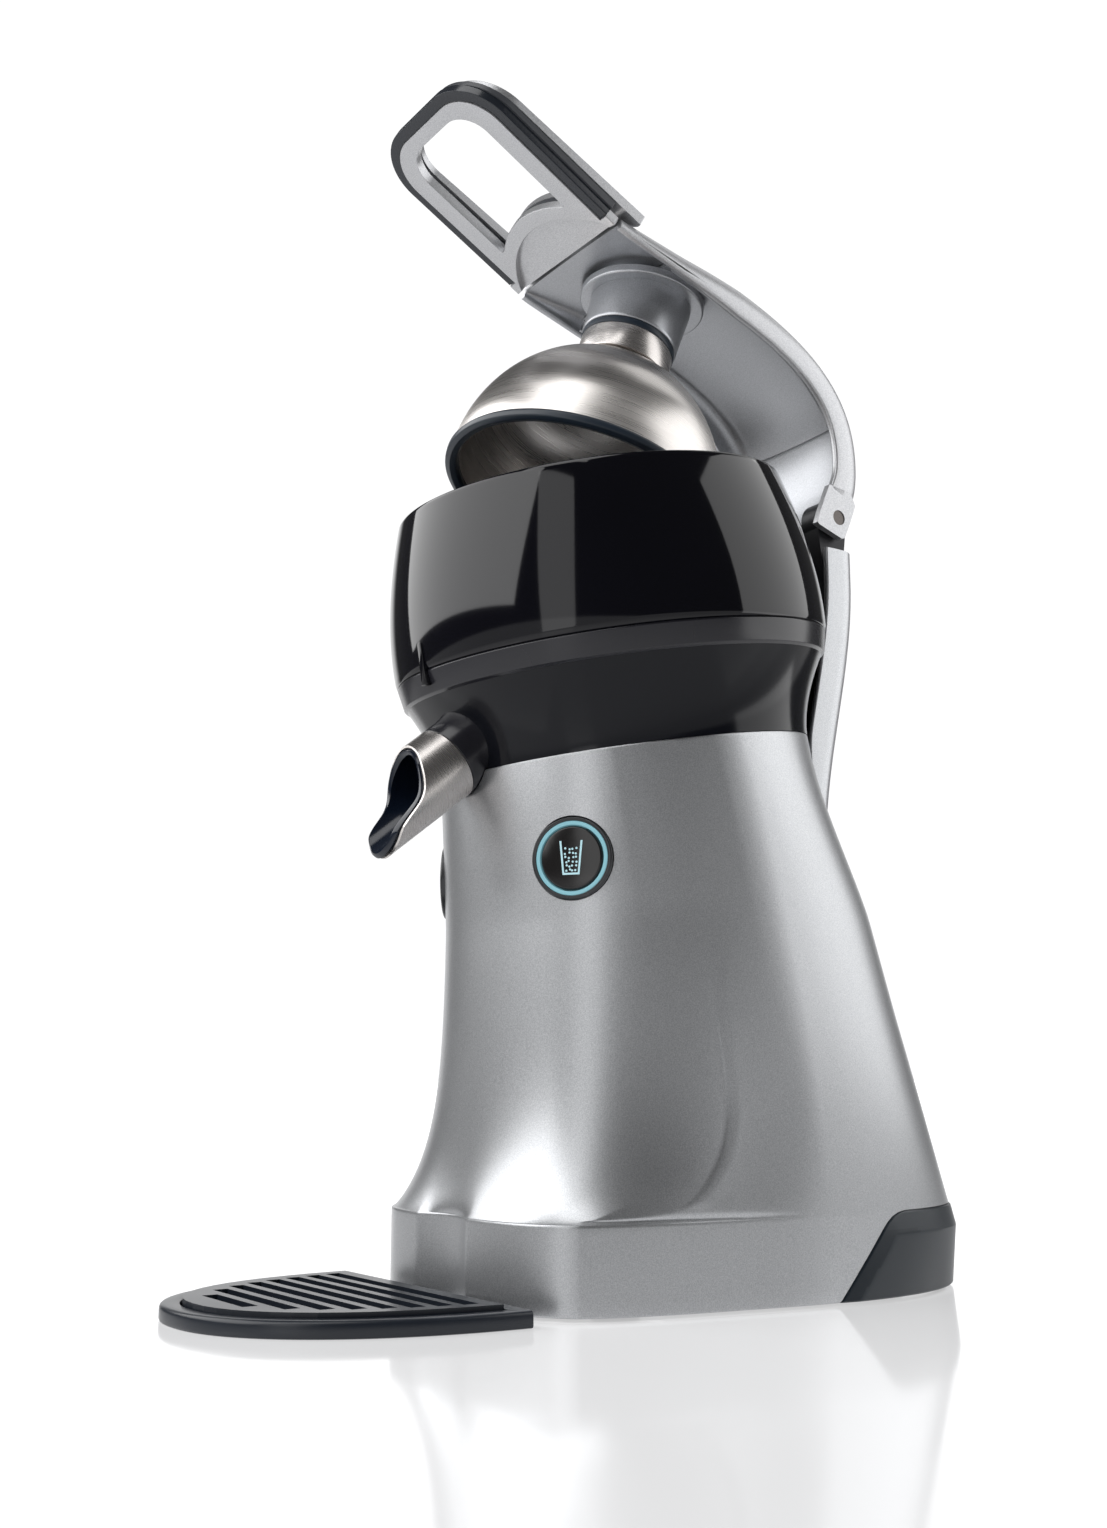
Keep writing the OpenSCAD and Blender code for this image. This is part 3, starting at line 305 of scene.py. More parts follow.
def tidy_mesh(me):
    """Points in one place are joined, and every face looks outwards."""
    bm = bmesh.new()
    bm.from_mesh(me)
    bmesh.ops.remove_doubles(bm, verts=bm.verts, dist=MERGE)
    bmesh.ops.recalc_face_normals(bm, faces=bm.faces)
    bm.to_mesh(me)
    bm.free()


def weight_normals(ob):
    mod = ob.modifiers.new("weighted", "WEIGHTED_NORMAL")
    mod.keep_sharp, mod.weight = True, 60


def piece(name, shape, body, nodes, mat, at=None, sharp=32, weighted=False, paints=()):
    """A mesh from (points in mm, faces) in the frame at, which the object keeps as its own place.

    nodes are the CAD nodes that it replaces, and paints are (material, test of a face's middle).
    """
    me = bpy.data.meshes.new(name)
    me.from_pydata([(x * MM, y * MM, z * MM) for x, y, z in shape[0]], [], shape[1])
    me.materials.append(mat)
    for k, (paint, test) in enumerate(paints):
        me.materials.append(paint)
        for poly in me.polygons:
            if test(*(poly.center / MM)):
                poly.material_index = k + 1
    tidy_mesh(me)
    smooth_shading(me, sharp)
    ob = add_object(name, me)
    if at is not None:
        place = at.copy()
        place.translation = at.translation * MM
        ob.matrix_world = place
    if weighted:
        weight_normals(ob)
    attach(ob, body)
    if nodes:
        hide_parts(*nodes)
    return ob


def lathe(profile, n=TURNED_STEPS):
    """A closed outline of (radius, height) turned round the local Z axis."""
    m = len(profile)
    verts = [(r * math.cos(2 * math.pi * k / n), r * math.sin(2 * math.pi * k / n), h)
             for k in range(n) for r, h in profile]
    faces = [(k * m + i, (k + 1) % n * m + i, (k + 1) % n * m + (i + 1) % m, k * m + (i + 1) % m)
             for k in range(n) for i in range(m)]
    return verts, faces


def grid(rings, loop=False):
    """Closed rings of equal length joined one to the next, and the last to the first if loop is set."""
    n = len(rings[0])
    verts = [p for ring in rings for p in ring]
    faces = []
    for i in range(len(rings) - (0 if loop else 1)):
        a, b = i * n, (i + 1) % len(rings) * n
        faces += [(a + j, b + j, b + (j + 1) % n, a + (j + 1) % n) for j in range(n)]
    return verts, faces


def capped(rings):
    """Rings closed at both ends by one flat face each."""
    verts, faces = grid(rings)
    n = len(rings[0])
    faces.append(tuple(range(n)))
    faces.append(tuple(len(verts) - n + k for k in range(n)))
    return verts, faces


def end_quads(verts, n):
    """Quads that close both ends of a sweep whose ring of n points runs out and back along a wall."""
    return [(base + k, base + k + 1, base + n - 2 - k, base + n - 1 - k)
            for base in (0, len(verts) - n) for k in range(n // 2 - 1)]


def slab(loops, low, high):
    """A plate between two height functions of (x, y), bounded by the first loop, with the others as holes."""
    bm = bmesh.new()
    edges = []
    for loop in loops:
        vs = [bm.verts.new((x, y, 0)) for x, y in loop]
        edges += [bm.edges.new((vs[i], vs[(i + 1) % len(vs)])) for i in range(len(vs))]
    bmesh.ops.triangle_fill(bm, edges=edges, use_beauty=True)
    under = bm.faces[:]
    made = bmesh.ops.extrude_face_region(bm, geom=under)["geom"]
    top = {v for v in made if isinstance(v, bmesh.types.BMVert)}
    for v in bm.verts:
        v.co.z = high(v.co.x, v.co.y) if v in top else low(v.co.x, v.co.y)
    return bm


def bevelled(bm, width, segments, only=None, angle=40):
    """The mesh's points and faces, with its sharp edges rounded where only(their middle) allows it."""
    bmesh.ops.remove_doubles(bm, verts=bm.verts, dist=1e-4)
    bmesh.ops.recalc_face_normals(bm, faces=bm.faces)
    bm.normal_update()
    edges = [e for e in bm.edges if len(e.link_faces) == 2 and e.calc_face_angle() > math.radians(angle)
             and (only is None or only((e.verts[0].co + e.verts[1].co) / 2))]
    bmesh.ops.bevel(bm, geom=edges, offset=width, segments=segments, profile=0.5, affect="EDGES",
                    clamp_overlap=True)
    verts = [tuple(v.co) for v in bm.verts]
    faces = [tuple(v.index for v in f.verts) for f in bm.faces]
    bm.free()
    return verts, faces


def cut(ob, *cutters):
    """Takes each (points, faces, frame) out of the piece's own mesh."""
    for verts, faces, at in cutters:
        me = bpy.data.meshes.new("cutter")
        me.from_pydata([tuple((at @ Vector(v)) * MM) for v in verts], [], faces)
        tidy_mesh(me)
        tool = add_object("cutter", me)
        mod = ob.modifiers.new("cut", "BOOLEAN")
        mod.operation, mod.solver, mod.object = "DIFFERENCE", "EXACT", tool
        bpy.context.view_layer.update()
        done = bpy.data.meshes.new_from_object(ob.evaluated_get(bpy.context.evaluated_depsgraph_get()))
        ob.modifiers.remove(mod)
        ob.data = done
        bpy.data.objects.remove(tool)


def finish_cut(ob, sharp=28):
    smooth_shading(ob.data, sharp)
    weight_normals(ob)


def rod(r, z0, z1, n=96):
    """A cylinder about the local Z axis, for cutting a bore."""
    return lathe([(0, z0), (r, z0), (r, z1), (0, z1)], n)


def side_prism(points, x0=-110, x1=110):
    """A side-view outline (y, z) extruded across the object."""
    return capped([[(x0, y, z) for y, z in points], [(x1, y, z) for y, z in points]])


# ---------------- housing
# the plinth: front, back, top and clearance under it, half width, and the power that squares its corners
PLINTH_FRONT, BACK, LEDGE_Z, FLOOR_GAP = -62.0, 158.5, 31.5, 1.1
PLINTH_W, PLINTH_N = 76.0, 3.4
# the notch for a glass, and how much its two corners are rounded
NOTCH_R, NOTCH_Y, NOTCH_BLEND = 38.0, -95.4, 0.7
# above the ledge the notch and corners are smoothed over these degrees, within this height
SOFT_SPREAD, SOFT_END, SOFT_FADE = 9, 120, 2.5
# the round column, its flare into the plinth, and the height where it starts to lean with the bowl
COLUMN_Y, COLUMN_R = 24.0, 73.6
FLARE_REACH, FLARE_START = 24.0, 0.95
NECK_IN_Z = 140
TALL = WAIST_Z - LEDGE_Z
# the crease between column and side panel: it bends forwards below the knee
KNEE_Z, CREASE_BACK, CREASE_FRONT, CREASE_LEAN = 71.0, 12.3, -24.0, 20.5
CREASE_PROUD, HAIR = 0.9, 0.01
# points round the front, along one side and round half of the back
FRONT_N, SIDE_N, REAR_N = 72, 18, 30
BUTTON_HOLE_R = 15.5
# front edge of the rear foot cover's place, as (y, z)
FOOT_BORDER = [(52, -4.5), (80, 25.2), (82.5, 27.6), (85.5, 29.6), (89, 30.9), (93, 31.5)]
FOOT_GAP = 0.25


def plinth_plan(a):
    """Plan radius of the plinth from the column's centre, with the round notch for a glass."""
    front, s, c = COLUMN_Y - PLINTH_FRONT, sind(a), cosd(a)
    full = ((abs(s) / PLINTH_W) ** PLINTH_N + (abs(c) / front) ** PLINTH_N) ** (-1 / PLINTH_N)
    d = COLUMN_Y - NOTCH_Y
    inside = NOTCH_R ** 2 - (d * s) ** 2
    notch = d * c - math.sqrt(inside) if inside > 0 and c > 0 else full + 5
    h = clamp01(0.5 + 0.5 * (full - notch) / NOTCH_BLEND)
    return mix(full, notch, h) - NOTCH_BLEND * h * (1 - h)


def soft_plan():
    """The plinth's outline averaged over the angles near each whole degree."""
    soft, near = [], round(2.5 * SOFT_SPREAD)
    for a in range(SOFT_END + 1):
        weights = [(math.exp(-((k / SOFT_SPREAD) ** 2)), plinth_plan(a + k)) for k in range(-near, near + 1)]
        soft.append((a, sum(w * r for w, r in weights) / sum(w for w, _ in weights)))
    return soft


SOFT_PLAN = soft_plan()


def plinth_radius(a, z):
    """The plinth's outline, which softens where the column's foot flares out of the ledge."""
    sharp = plinth_plan(a)
    if z <= LEDGE_Z:
        return sharp
    return mix(along(SOFT_PLAN, abs(a)), sharp, math.exp(-(z - LEDGE_Z) / SOFT_FADE))


def flare(z):
    """How far the column has grown out into the plinth, from 0 to 1."""
    return 1.0 if z <= LEDGE_Z else FLARE_START * math.exp(-(z - LEDGE_Z) / FLARE_REACH)


def top_blend(z):
    return clamp01((z - NECK_IN_Z) / (WAIST_Z - NECK_IN_Z))


def rise(z):
    """Height above the ledge, as a share of the column's height."""
    return clamp01((z - LEDGE_Z) / TALL)


def column_mid(z):
    return mix(COLUMN_Y, WAIST_Y, top_blend(z))


def column_radius(a, z, out):
    return mix(mix(COLUMN_R, WAIST_R, top_blend(z)), plinth_radius(a, z), out)


def crease_y(z):
    """Where the round column meets the side panel."""
    low = LEDGE_Z + 1
    if z <= low:
        return CREASE_FRONT
    if z < KNEE_Z:
        fall = (KNEE_Z - z) / (KNEE_Z - low)
        return mix(CREASE_FRONT, CREASE_BACK, math.sqrt(max(0, 1 - fall ** 2)))
    return CREASE_BACK - CREASE_LEAN * ((z - KNEE_Z) / (WAIST_Z - KNEE_Z)) ** 1.2


def crease_angle(z, out):
    """The column's plan angle at the crease, found by repeated substitution."""
    a = 80.0
    for _ in range(6):
        a = math.degrees(math.acos(max(-1, min(1, (column_mid(z) - crease_y(z)) / column_radius(a, z, out)))))
    return a


def crease_step(z):
    """How far the side panel stands proud at the crease: most at the knee, none at the waist."""
    if z <= LEDGE_Z:
        return HAIR
    return CREASE_PROUD * (1 - smooth((rise(z) - 0.32) / 0.38)) * smooth((z - LEDGE_Z) / 3) + HAIR


def side_w(z):
    """Half width of the side panels."""
    return mix(81, WAIST_R, rise(z) ** 0.9)


def side_mid(z):
    """Where the side panels are widest."""
    return mix(55, WAIST_Y, rise(z) ** 1.6)


def side_x(y, z, xc, yc):
    """The side panel's x between the crease at (xc, yc) and its widest place."""
    w, t = side_w(z), (side_mid(z) - y) / (side_mid(z) - yc)
    c = 0.6 + 40 * rise(z) ** 4
    return w - (w - xc) * t * t * (1 + c) / (t * t + c)


def back_y(z):
    straight = BACK - 0.375 * max(0, z - LEDGE_Z)
    return mix(straight, WAIST_Y + WAIST_R * cosd(BOWL_TILT), top_blend(z) ** 2)


def rear_point(z, a):
    """A point of the back, a superellipse below that becomes round at the waist."""
    w, sm, n = side_w(z), side_mid(z), mix(2.5, 2, top_blend(z))
    return w * max(0, cosd(a)) ** (2 / n), sm + (back_y(z) - sm) * sind(a) ** (2 / n)


def row_tilt(z):
    return BOWL_TILT * clamp01((z - 100) / (WAIST_Z - 100)) ** 1.5


def eased(points, first, last, rounds):
    """The points from first to last, drawn towards the middle of their neighbours again and again."""
    for _ in range(rounds):
        points[first:last] = [(mix(points[k][0], (points[k - 1][0] + points[k + 1][0]) / 2, 0.5),
                               mix(points[k][1], (points[k - 1][1] + points[k + 1][1]) / 2, 0.5))
                              for k in range(first, last)]
    return points


def half_row(z, out):
    """The right half of the housing's outline at height z, from the front's middle to the back's."""
    ac, yc, m = crease_angle(z, out), crease_y(z), column_mid(z)
    step, sm = crease_step(z), side_mid(z)
    xc = column_radius(ac, z, out) * sind(ac) + step
    points = []
    for i in range(FRONT_N + 1):
        a = ac * i / FRONT_N
        r = column_radius(a, z, out)
        points.append((r * sind(a), m - r * cosd(a)))
    points += [(xc - 0.7 * step, yc + 0.5), (xc - 0.28 * step, yc + 1.3), (xc, yc + 2.6)]
    for i in range(1, SIDE_N):
        y = mix(yc + 3, sm, (i / SIDE_N) ** 1.2)
        points.append((side_x(y, z, xc, yc), y))
    points += [rear_point(z, 90 * i / REAR_N) for i in range(REAR_N + 1)]
    # the plinth's flank runs smoothly into its side, and the crease dies out towards the waist
    rounds = round(200 * clamp01(1 - (z - LEDGE_Z) / 6) + 45 * smooth((rise(z) - 0.45) / 0.35))
    return eased(points, FRONT_N - 16, FRONT_N + 14, rounds)


def row(z, grow=0.0, out=None):
    """The housing's whole outline at height z; near the waist it leans with the bowl."""
    half = half_row(z, flare(z) if out is None else out)
    full = half + [(-x, y) for x, y in reversed(half[1:-1])]
    m, lean, points = side_mid(z), math.tan(math.radians(row_tilt(z))), []
    for x, y in full:
        k = 1 + grow / math.hypot(x, y - m)
        yy = m + (y - m) * k
        points.append((x * k, yy, z + (yy - WAIST_Y) * lean))
    return points


def housing_rings():
    """Outlines up the outer face and down the inner face."""
    rings = [row(FLOOR_GAP, -0.8), row(FLOOR_GAP + 0.25, -0.25), row(FLOOR_GAP + 0.8)]
    rings += [row(z) for z in (6, 14, 22, 28)]
    ledge = ((30.2, 1.0), (30.9, 0.995), (31.3, 0.985), (31.5, 0.968), (31.56, 0.95))
    rings += [row(z, out=out) for z, out in ledge]
    z, step = 31.9, 0.5
    while z < WAIST_Z - 0.8:
        rings.append(row(z))
        z += step
        step = min(4.0, step * 1.14)
    rings += [row(WAIST_Z - 0.7), row(WAIST_Z - 0.2, -0.25), row(WAIST_Z, -0.8)]
    return rings + [row(z, -3) for z in (WAIST_Z, 175, 140, 90, 50, FLOOR_GAP)]


def build_housing():
    shape = grid(housing_rings(), loop=True)
    shell = piece("housing_shell", shape, "base", ["housing"], SILVER)
    foot_line = [(y - FOOT_GAP, z + FOOT_GAP) for y, z in FOOT_BORDER]
    foot_line += [(170, LEDGE_Z + FOOT_GAP), (170, -5)]
    half = ARM_HALF + 0.3
    spine_slot = [(-half, 88), (half, 88), (half, 128), (-half, 128)]
    cut(shell,
        *[(*rod(BUTTON_HOLE_R, -14, 16), button_frame(side)) for side in (-1, 1)],
        (*rod(SPOUT_R + 0.4, -30, 0), SPOUT),
        (*side_prism(foot_line), WORLD),
        (*capped([[(x, y, z) for x, y in spine_slot] for z in (168, 228)]), WORLD))
    finish_cut(shell)


# ---------------- rear foot cover
COVER_MID, COVER_POWER, COVER_STEPS = 55.0, 2.5, 90
BORDER_W, COVER_WALL = 5.8, 3
COVER_LEVELS = (FLOOR_GAP, 1.6, 6, 12, 18, 22.6, 23.3, 24.2, 25.2, 26.4, 27.6, 28.6, 29.6, 30.3, 30.9, 31.2,
                LEDGE_Z)
DIAGONAL = 0.71
GLAND_Y, GLAND_Z, GLAND_R = 145, 16, 7.05


def border_y(z):
    return along([(p[1], p[0]) for p in FOOT_BORDER], z)


def border_distance(y, z):
    """Rough distance of a point of the cover from its upper and front edges."""
    return DIAGONAL * min(LEDGE_Z - z, y - border_y(z))


def foot_point(z, a, inset=0.0):
    """A point of the cover at height z and angle a round the back, proud inside its chamfered border."""
    w, depth = side_w(FLOOR_GAP), BACK - COVER_MID
    c, s = cosd(a), abs(sind(a))
    x = math.copysign(w * abs(c) ** (2 / COVER_POWER), c)
    y = COVER_MID + depth * s ** (2 / COVER_POWER)
    normal = Vector((x / w, (y - COVER_MID) / depth)).normalized()
    k, edge = clamp01((y - 50) / 90), border_distance(y, z)
    proud = (1 + mix(-1.3, 1, clamp01(z / 23)) * k * k) * clamp01(edge / BORDER_W)
    proud += mix(0.25, 0.6, k) * clamp01(edge / 0.4)
    return x + normal.x * (proud - inset), max(y + normal.y * (proud - inset), border_y(z)), z


def foot_row(z):
    """One level of the cover: round the back outside, then home again inside."""
    reach = clamp01((border_y(z) - COVER_MID) / (BACK - COVER_MID)) ** (COVER_POWER / 2)
    start = math.degrees(math.asin(reach))
    shares = [k / (COVER_STEPS - 1) for k in range(COVER_STEPS)]
    angles = [mix(start, 180 - start, t - 0.145 * math.sin(2 * math.pi * t)) for t in shares]
    shy = 0.5 if z == FLOOR_GAP else 0
    outside = [foot_point(z, a, shy) for a in angles]
    return outside + [foot_point(z, a, COVER_WALL) for a in reversed(angles)]


def build_rear_foot_cover():
    verts, faces = grid([foot_row(z) for z in COVER_LEVELS])
    faces += end_quads(verts, 2 * COVER_STEPS)
    # the low front part of the chamfered border is painted darker: painted shade where the cover meets the
    # housing
    border = (SLATE_PAINTED_SHADE, lambda x, y, z: border_distance(y, z) < BORDER_W - 0.2 and y < 100 and z < 25)
    foot = piece("rear_foot_cover_shell", (verts, faces), "base", ["rear_foot_cover"],
                 SLATE, sharp=14, paints=[border])
    cut(foot, (*rod(GLAND_R, -3, 30, 48), shift(0, GLAND_Y, GLAND_Z) @ turn(-90, "X")))
    finish_cut(foot, 12)


# ---------------- swept channels: arm and spine
WALL, SPINE_WALL, CORNER_R = 3.0, 2.6, 8.0
CROWN, TAIL_CROWN = 6.3, 4.5
PIN_Y, PIN_Z, PIN_R = 109.4, 317.4, 3.3
FRONT_CURVE = [(-4, 423.7), (18, 419.4), (42, 414.8), (60, 409)]
BEND_CURVE = [(60, 409), (100.6, 394.8), (124.2, 376), (123, 341.4)]
TAIL_CURVE = [(123, 341.4), (123, 335), (121.8, 330), (119.8, 325)]
CHEEK = [(96.8, 312.8), (98.8, 318.5), (100.6, 322.6), (102.6, 327.2), (104.5, 331.5), (116.6, 330),
         (119.2, 324.5), (117.2, 319.4), (114.6, 313.4), (112.3, 308.6), (110.6, 308.2)]


def bezier(p, t):
    s = 1 - t
    return [p[0][k] * s ** 3 + 3 * p[1][k] * s * s * t + 3 * p[2][k] * s * t * t + p[3][k] * t ** 3
            for k in (0, 1)]


def half_section(w, depth, crown, r, inset):
    """Half of one face of a channel: crowned top, round corner and straight side, as (x, height)."""
    flat, steps = w - inset - r, 14
    points = [(flat * i / steps, crown * (1 - (flat * i / steps / w) ** 2) - inset) for i in range(steps)]
    rim = crown * (1 - (flat / w) ** 2)
    for a in range(0, 100, 10):
        points.append((flat + r * sind(a), rim * cosd(a) - inset - r * (1 - cosd(a))))
    return points + [(w - inset, -depth * 0.75), (w - inset, -depth)]


def section(w, depth, crown, wall, foot_round=0.9):
    """Closed outline of a channel's wall: (x, distance out of its edge curve)."""
    r = min(CORNER_R, depth - 1.6)
    outer = half_section(w, depth, crown, r, 0)
    inner = half_section(w, depth, crown, max(0.6, r - wall), wall)
    loop = [(-x, y) for x, y in reversed(outer[1:])] + outer
    loop += [(x, y) for x, y in reversed(inner)] + [(-x, y) for x, y in inner[1:]]
    n, m = len(outer), len(loop)
    radius = [0.0] * m
    for k in (0, 2 * n - 2, 2 * n - 1, m - 1):
        radius[k] = foot_round
    return rounded(loop, radius, 3)


def channel(stations, wall, foot_round=0.9):
    """A channel swept through stations of (y, z, angle, depth, half width, crown)."""
    rings = []
    for y, z, angle, depth, w, crown in stations:
        outline = section(w, depth, crown, wall, foot_round)
        rings.append([(x, y - d * sind(angle), z + d * cosd(angle)) for x, d in outline])
    verts, faces = grid(rings)
    return verts, faces + end_quads(verts, len(rings[0]))


def curve_station(curve, t, depth, crown):
    y, z = bezier(curve, t)
    (y0, z0), (y1, z1) = bezier(curve, t - 0.01), bezier(curve, t + 0.01)
    return [y, z, math.degrees(math.atan2(z1 - z0, y1 - y0)), depth, ARM_HALF, crown]


def arm_stations():
    """From the handle, over the bend and down to the hinge."""
    out = [curve_station(FRONT_CURVE, i / 16, mix(5.2, 13, (i / 16) ** 0.8), mix(1, CROWN, i / 16))
           for i in range(16)]
    out += [curve_station(BEND_CURVE, i / 36, mix(13, 14, i / 36), CROWN) for i in range(37)]
    return out + [curve_station(TAIL_CURVE, i / 8, mix(14, 15.5, i / 8), mix(CROWN, TAIL_CROWN, i / 8))
                  for i in range(1, 9)]


def build_lever_arm():
    shape = channel(arm_stations(), WALL)
    arm = piece("lever_arm_shell", shape, "press_arm", ["lever_arm"], CASTING, sharp=40)
    # the inside of the channel takes a darker copy of the paint: painted shade
    arm.data.materials.append(SHADED_SILVER)
    around = len(section(ARM_HALF, 13, 6, WALL))
    for k, face in enumerate(arm.data.polygons):
        if k < len(shape[1]) - around and k % around >= around // 2:
            face.material_index = 1


def build_arm_cheeks():
    """The two lugs that hang from the arm's tail onto the hinge pin."""
    outline = rounded(CHEEK, [1.2] + [0] * 8 + [1.6] * 2, 4)
    hole_r = PIN_R + 0.02
    hole = [(PIN_Y + hole_r * cosd(7.5 * k), PIN_Z + hole_r * sind(7.5 * k)) for k in range(48)]
    from_side = Matrix(((0, 0, 1, 0), (1, 0, 0, 0), (0, 1, 0, 0), (0, 0, 0, 1)))
    for word, x in (("left", -ARM_HALF), ("right", ARM_HALF - WALL)):
        shape = bevelled(slab([outline, hole], level(0), level(WALL)), 0.35, 2)
        piece("arm_cheek_" + word, shape, "press_arm", [], CASTING,
              at=shift(x, 0, 0) @ from_side, weighted=True)


def build_arm_inner_cover():
    drop, thinner = 3.2, 4.0
    stations = [[y + drop * sind(a), z - drop * cosd(a), a, d - thinner, w - drop, crown]
                for y, z, a, d, w, crown in arm_stations()[7:44]]
    # the liner inside the arm takes the darker paint: painted shade
    piece("arm_inner_liner", channel(stations, 1.6, 0.4), "press_arm", ["arm_inner_cover"],
          SHADED_SILVER, sharp=40)
    ring = rounded([(20, -2.4), (27, -2.4), (27, 1), (20, 1)], [0.3, 0.9, 0, 0], 4)
    # the sleeve ring under the arm takes the darker paint: painted shade
    piece("arm_sleeve_ring", lathe(ring, 128), "press_arm", [], SHADED_SILVER,
          at=shift(0, 33.4, 411.9) @ turn(-11, "X"))


def spine_back(z):
    return mix(100, 118.6, smooth((z - 170) / 120))


def spine_station(z):
    lean = -math.degrees(math.atan((spine_back(z + 2) - spine_back(z - 2)) / 4))
    return [spine_back(z), z, -90 + lean, mix(10, 17, smooth((z - 180) / 40)), ARM_HALF, 3]


def build_spine_cover():
    stations = [spine_station(mix(168.5, 303, i / 39)) for i in range(40)]
    spine = piece("spine_cover_shell", channel(stations, SPINE_WALL), "base", ["spine_cover"],
                  SILVER, sharp=40)
    cut(spine, (*rod(WAIST_R + 0.4, -2, 58), BOWL))
    finish_cut(spine, 35)


# ---------------- handle
# all of it lies in the handle's own frame: y runs to its front and z up through its layers
GRIP_W, GRIP_FRONT, GRIP_CORNER, GRIP_BAND = 37, 80.1, 22.0, 4.6
OPEN_W, OPEN_FRONT, OPEN_REAR, OPEN_CORNER, OPEN_ARC = 23.5, 69.5, 14.0, 13.0, 40.0
FRAME_W, FRAME_REAR, FRAME_LOW, FRAME_TOP = 36.6, -4, -0.4, 4.0
CORE_W, CORE_REAR = 32.6, 1.2
RECESS_Y, RECESS_R, RECESS_Z, RECESS_HALF = -24.9, 39.5, 2.4, 33.3
COVER_LIP = 0.02


def level(height):
    return lambda x, y: height


def taper(rear, front):
    """A height that changes evenly from the handle's rear to its front."""
    return lambda x, y: mix(rear, front, y / GRIP_FRONT)


def round_front(w, rear, front, r, n=16):
    """A U shape: straight sides from the rear and a rounded front."""
    angles = [90 * i / n for i in range(n + 1)]
    half = [(w, rear)] + [(w - r + r * cosd(a), front - r + r * sind(a)) for a in angles]
    return half + [(-x, y) for x, y in reversed(half)]


def grip_opening(grow=0.0):
    """The hand opening, with its rear edge along an arc."""
    w, rear = OPEN_W + grow, OPEN_REAR - grow
    loop = round_front(w, rear, OPEN_FRONT + grow, OPEN_CORNER + grow, 10)
    corners = (0, len(loop) - 1)
    for i in range(1, 16):
        x = mix(-w, w, i / 16)
        loop.append((x, rear + math.sqrt(OPEN_ARC ** 2 - x * x) - math.sqrt(OPEN_ARC ** 2 - w * w)))
    return rounded(loop, [3.0 if k in corners else 0 for k in range(len(loop))], 4)


def arc_over(reach, centre, r, n):
    """Points of a circle's front part at angles from -reach to reach, left to right."""
    angles = [mix(-reach, reach, i / n) for i in range(n + 1)]
    return [(r * sind(a), centre + r * cosd(a)) for a in angles]


def frame_core():
    return round_front(CORE_W, CORE_REAR, GRIP_FRONT - GRIP_BAND, GRIP_CORNER - 4)


def build_handle_frame():
    """The underside is cut back to a round recess by the arm; the upper part is the recess's roof."""
    reach = math.degrees(math.asin(RECESS_HALF / RECESS_R))
    rear, arc = [(-FRAME_W, FRAME_REAR)], arc_over(reach, RECESS_Y, RECESS_R, 40)
    front = [(FRAME_W, FRAME_REAR), (FRAME_W, CORE_REAR)] + frame_core() + [(-FRAME_W, CORE_REAR)]
    under = slab([rear + arc + front, grip_opening()], level(FRAME_LOW), level(RECESS_Z))
    piece("handle_frame_shell", bevelled(under, 0.5, 2, only=lambda c: c.z < 1), "press_arm",
          ["handle_frame"], CASTING, at=HANDLE, weighted=True)
    roof = slab([rear + front, grip_opening()], level(RECESS_Z), level(FRAME_TOP))
    piece("handle_frame_roof", bevelled(roof, 0.2, 1, only=lambda c: c.z > 3), "press_arm", [],
          CASTING, at=HANDLE, weighted=True)


def build_handle_grips():
    inside = round_front(CORE_W, CORE_REAR + 0.15, GRIP_FRONT - GRIP_BAND, GRIP_CORNER - 4)
    band = round_front(GRIP_W, 1.4, GRIP_FRONT, GRIP_CORNER) + list(reversed(inside))
    lower = bevelled(slab([band], level(0.3), level(FRAME_TOP)), 0.45, 2, only=lambda c: c.z < 1.5)
    piece("handle_lower_grip_shell", lower, "press_arm", ["handle_lower_grip"],
          GRIP_BLACK, at=HANDLE, weighted=True)
    plan = round_front(GRIP_W + 1, 1, GRIP_FRONT - 0.6, GRIP_CORNER)
    upper = bevelled(slab([plan, grip_opening(3)], level(FRAME_TOP), taper(7.7, 6.2)), 0.5, 2)
    piece("handle_upper_grip_shell", upper, "press_arm", ["handle_upper_grip"],
          GRIP_GREY, at=HANDLE, weighted=True)


def build_handle_cover():
    rear, fin, arc_r = -12.8, 36.4, 56
    arc = arc_over(math.degrees(math.asin(34 / arc_r)), -arc_r, arc_r, 24)
    plan = round_front(GRIP_W + 1.4, rear, GRIP_FRONT - 2.6, GRIP_CORNER)
    plan += [(-fin, rear)] + [(x, y) for x, y in arc if y > rear] + [(fin, rear)]
    cover = slab([plan, grip_opening(1.5)], taper(7.7 + COVER_LIP, 6.2 + COVER_LIP), taper(12.4, 8.8))
    piece("handle_cover_shell", bevelled(cover, 1.5, 4, only=lambda c: c.z > 8.2), "press_arm",
          ["handle_cover"], CASTING, at=HANDLE, weighted=True)


# ---------------- press dome
GASKET_H, NECK_H, DOME_DROP, DOME_R, DOME_WALL = 3.0, 11.5, 75.0, 57.0, 1.5
BORE_R, SCREW_R = 12, 4.2
NECK_LOW = -GASKET_H - NECK_H
DOME_H = DOME_DROP + NECK_LOW + 1


def dome_curve(r, h, n=48):
    quarter = [(r * cosd(mix(0, 90, i / n)), h * sind(mix(0, 90, i / n))) for i in range(n + 1)]
    return [(x, min(y - DOME_DROP, NECK_LOW)) for x, y in quarter if x >= SCREW_R]


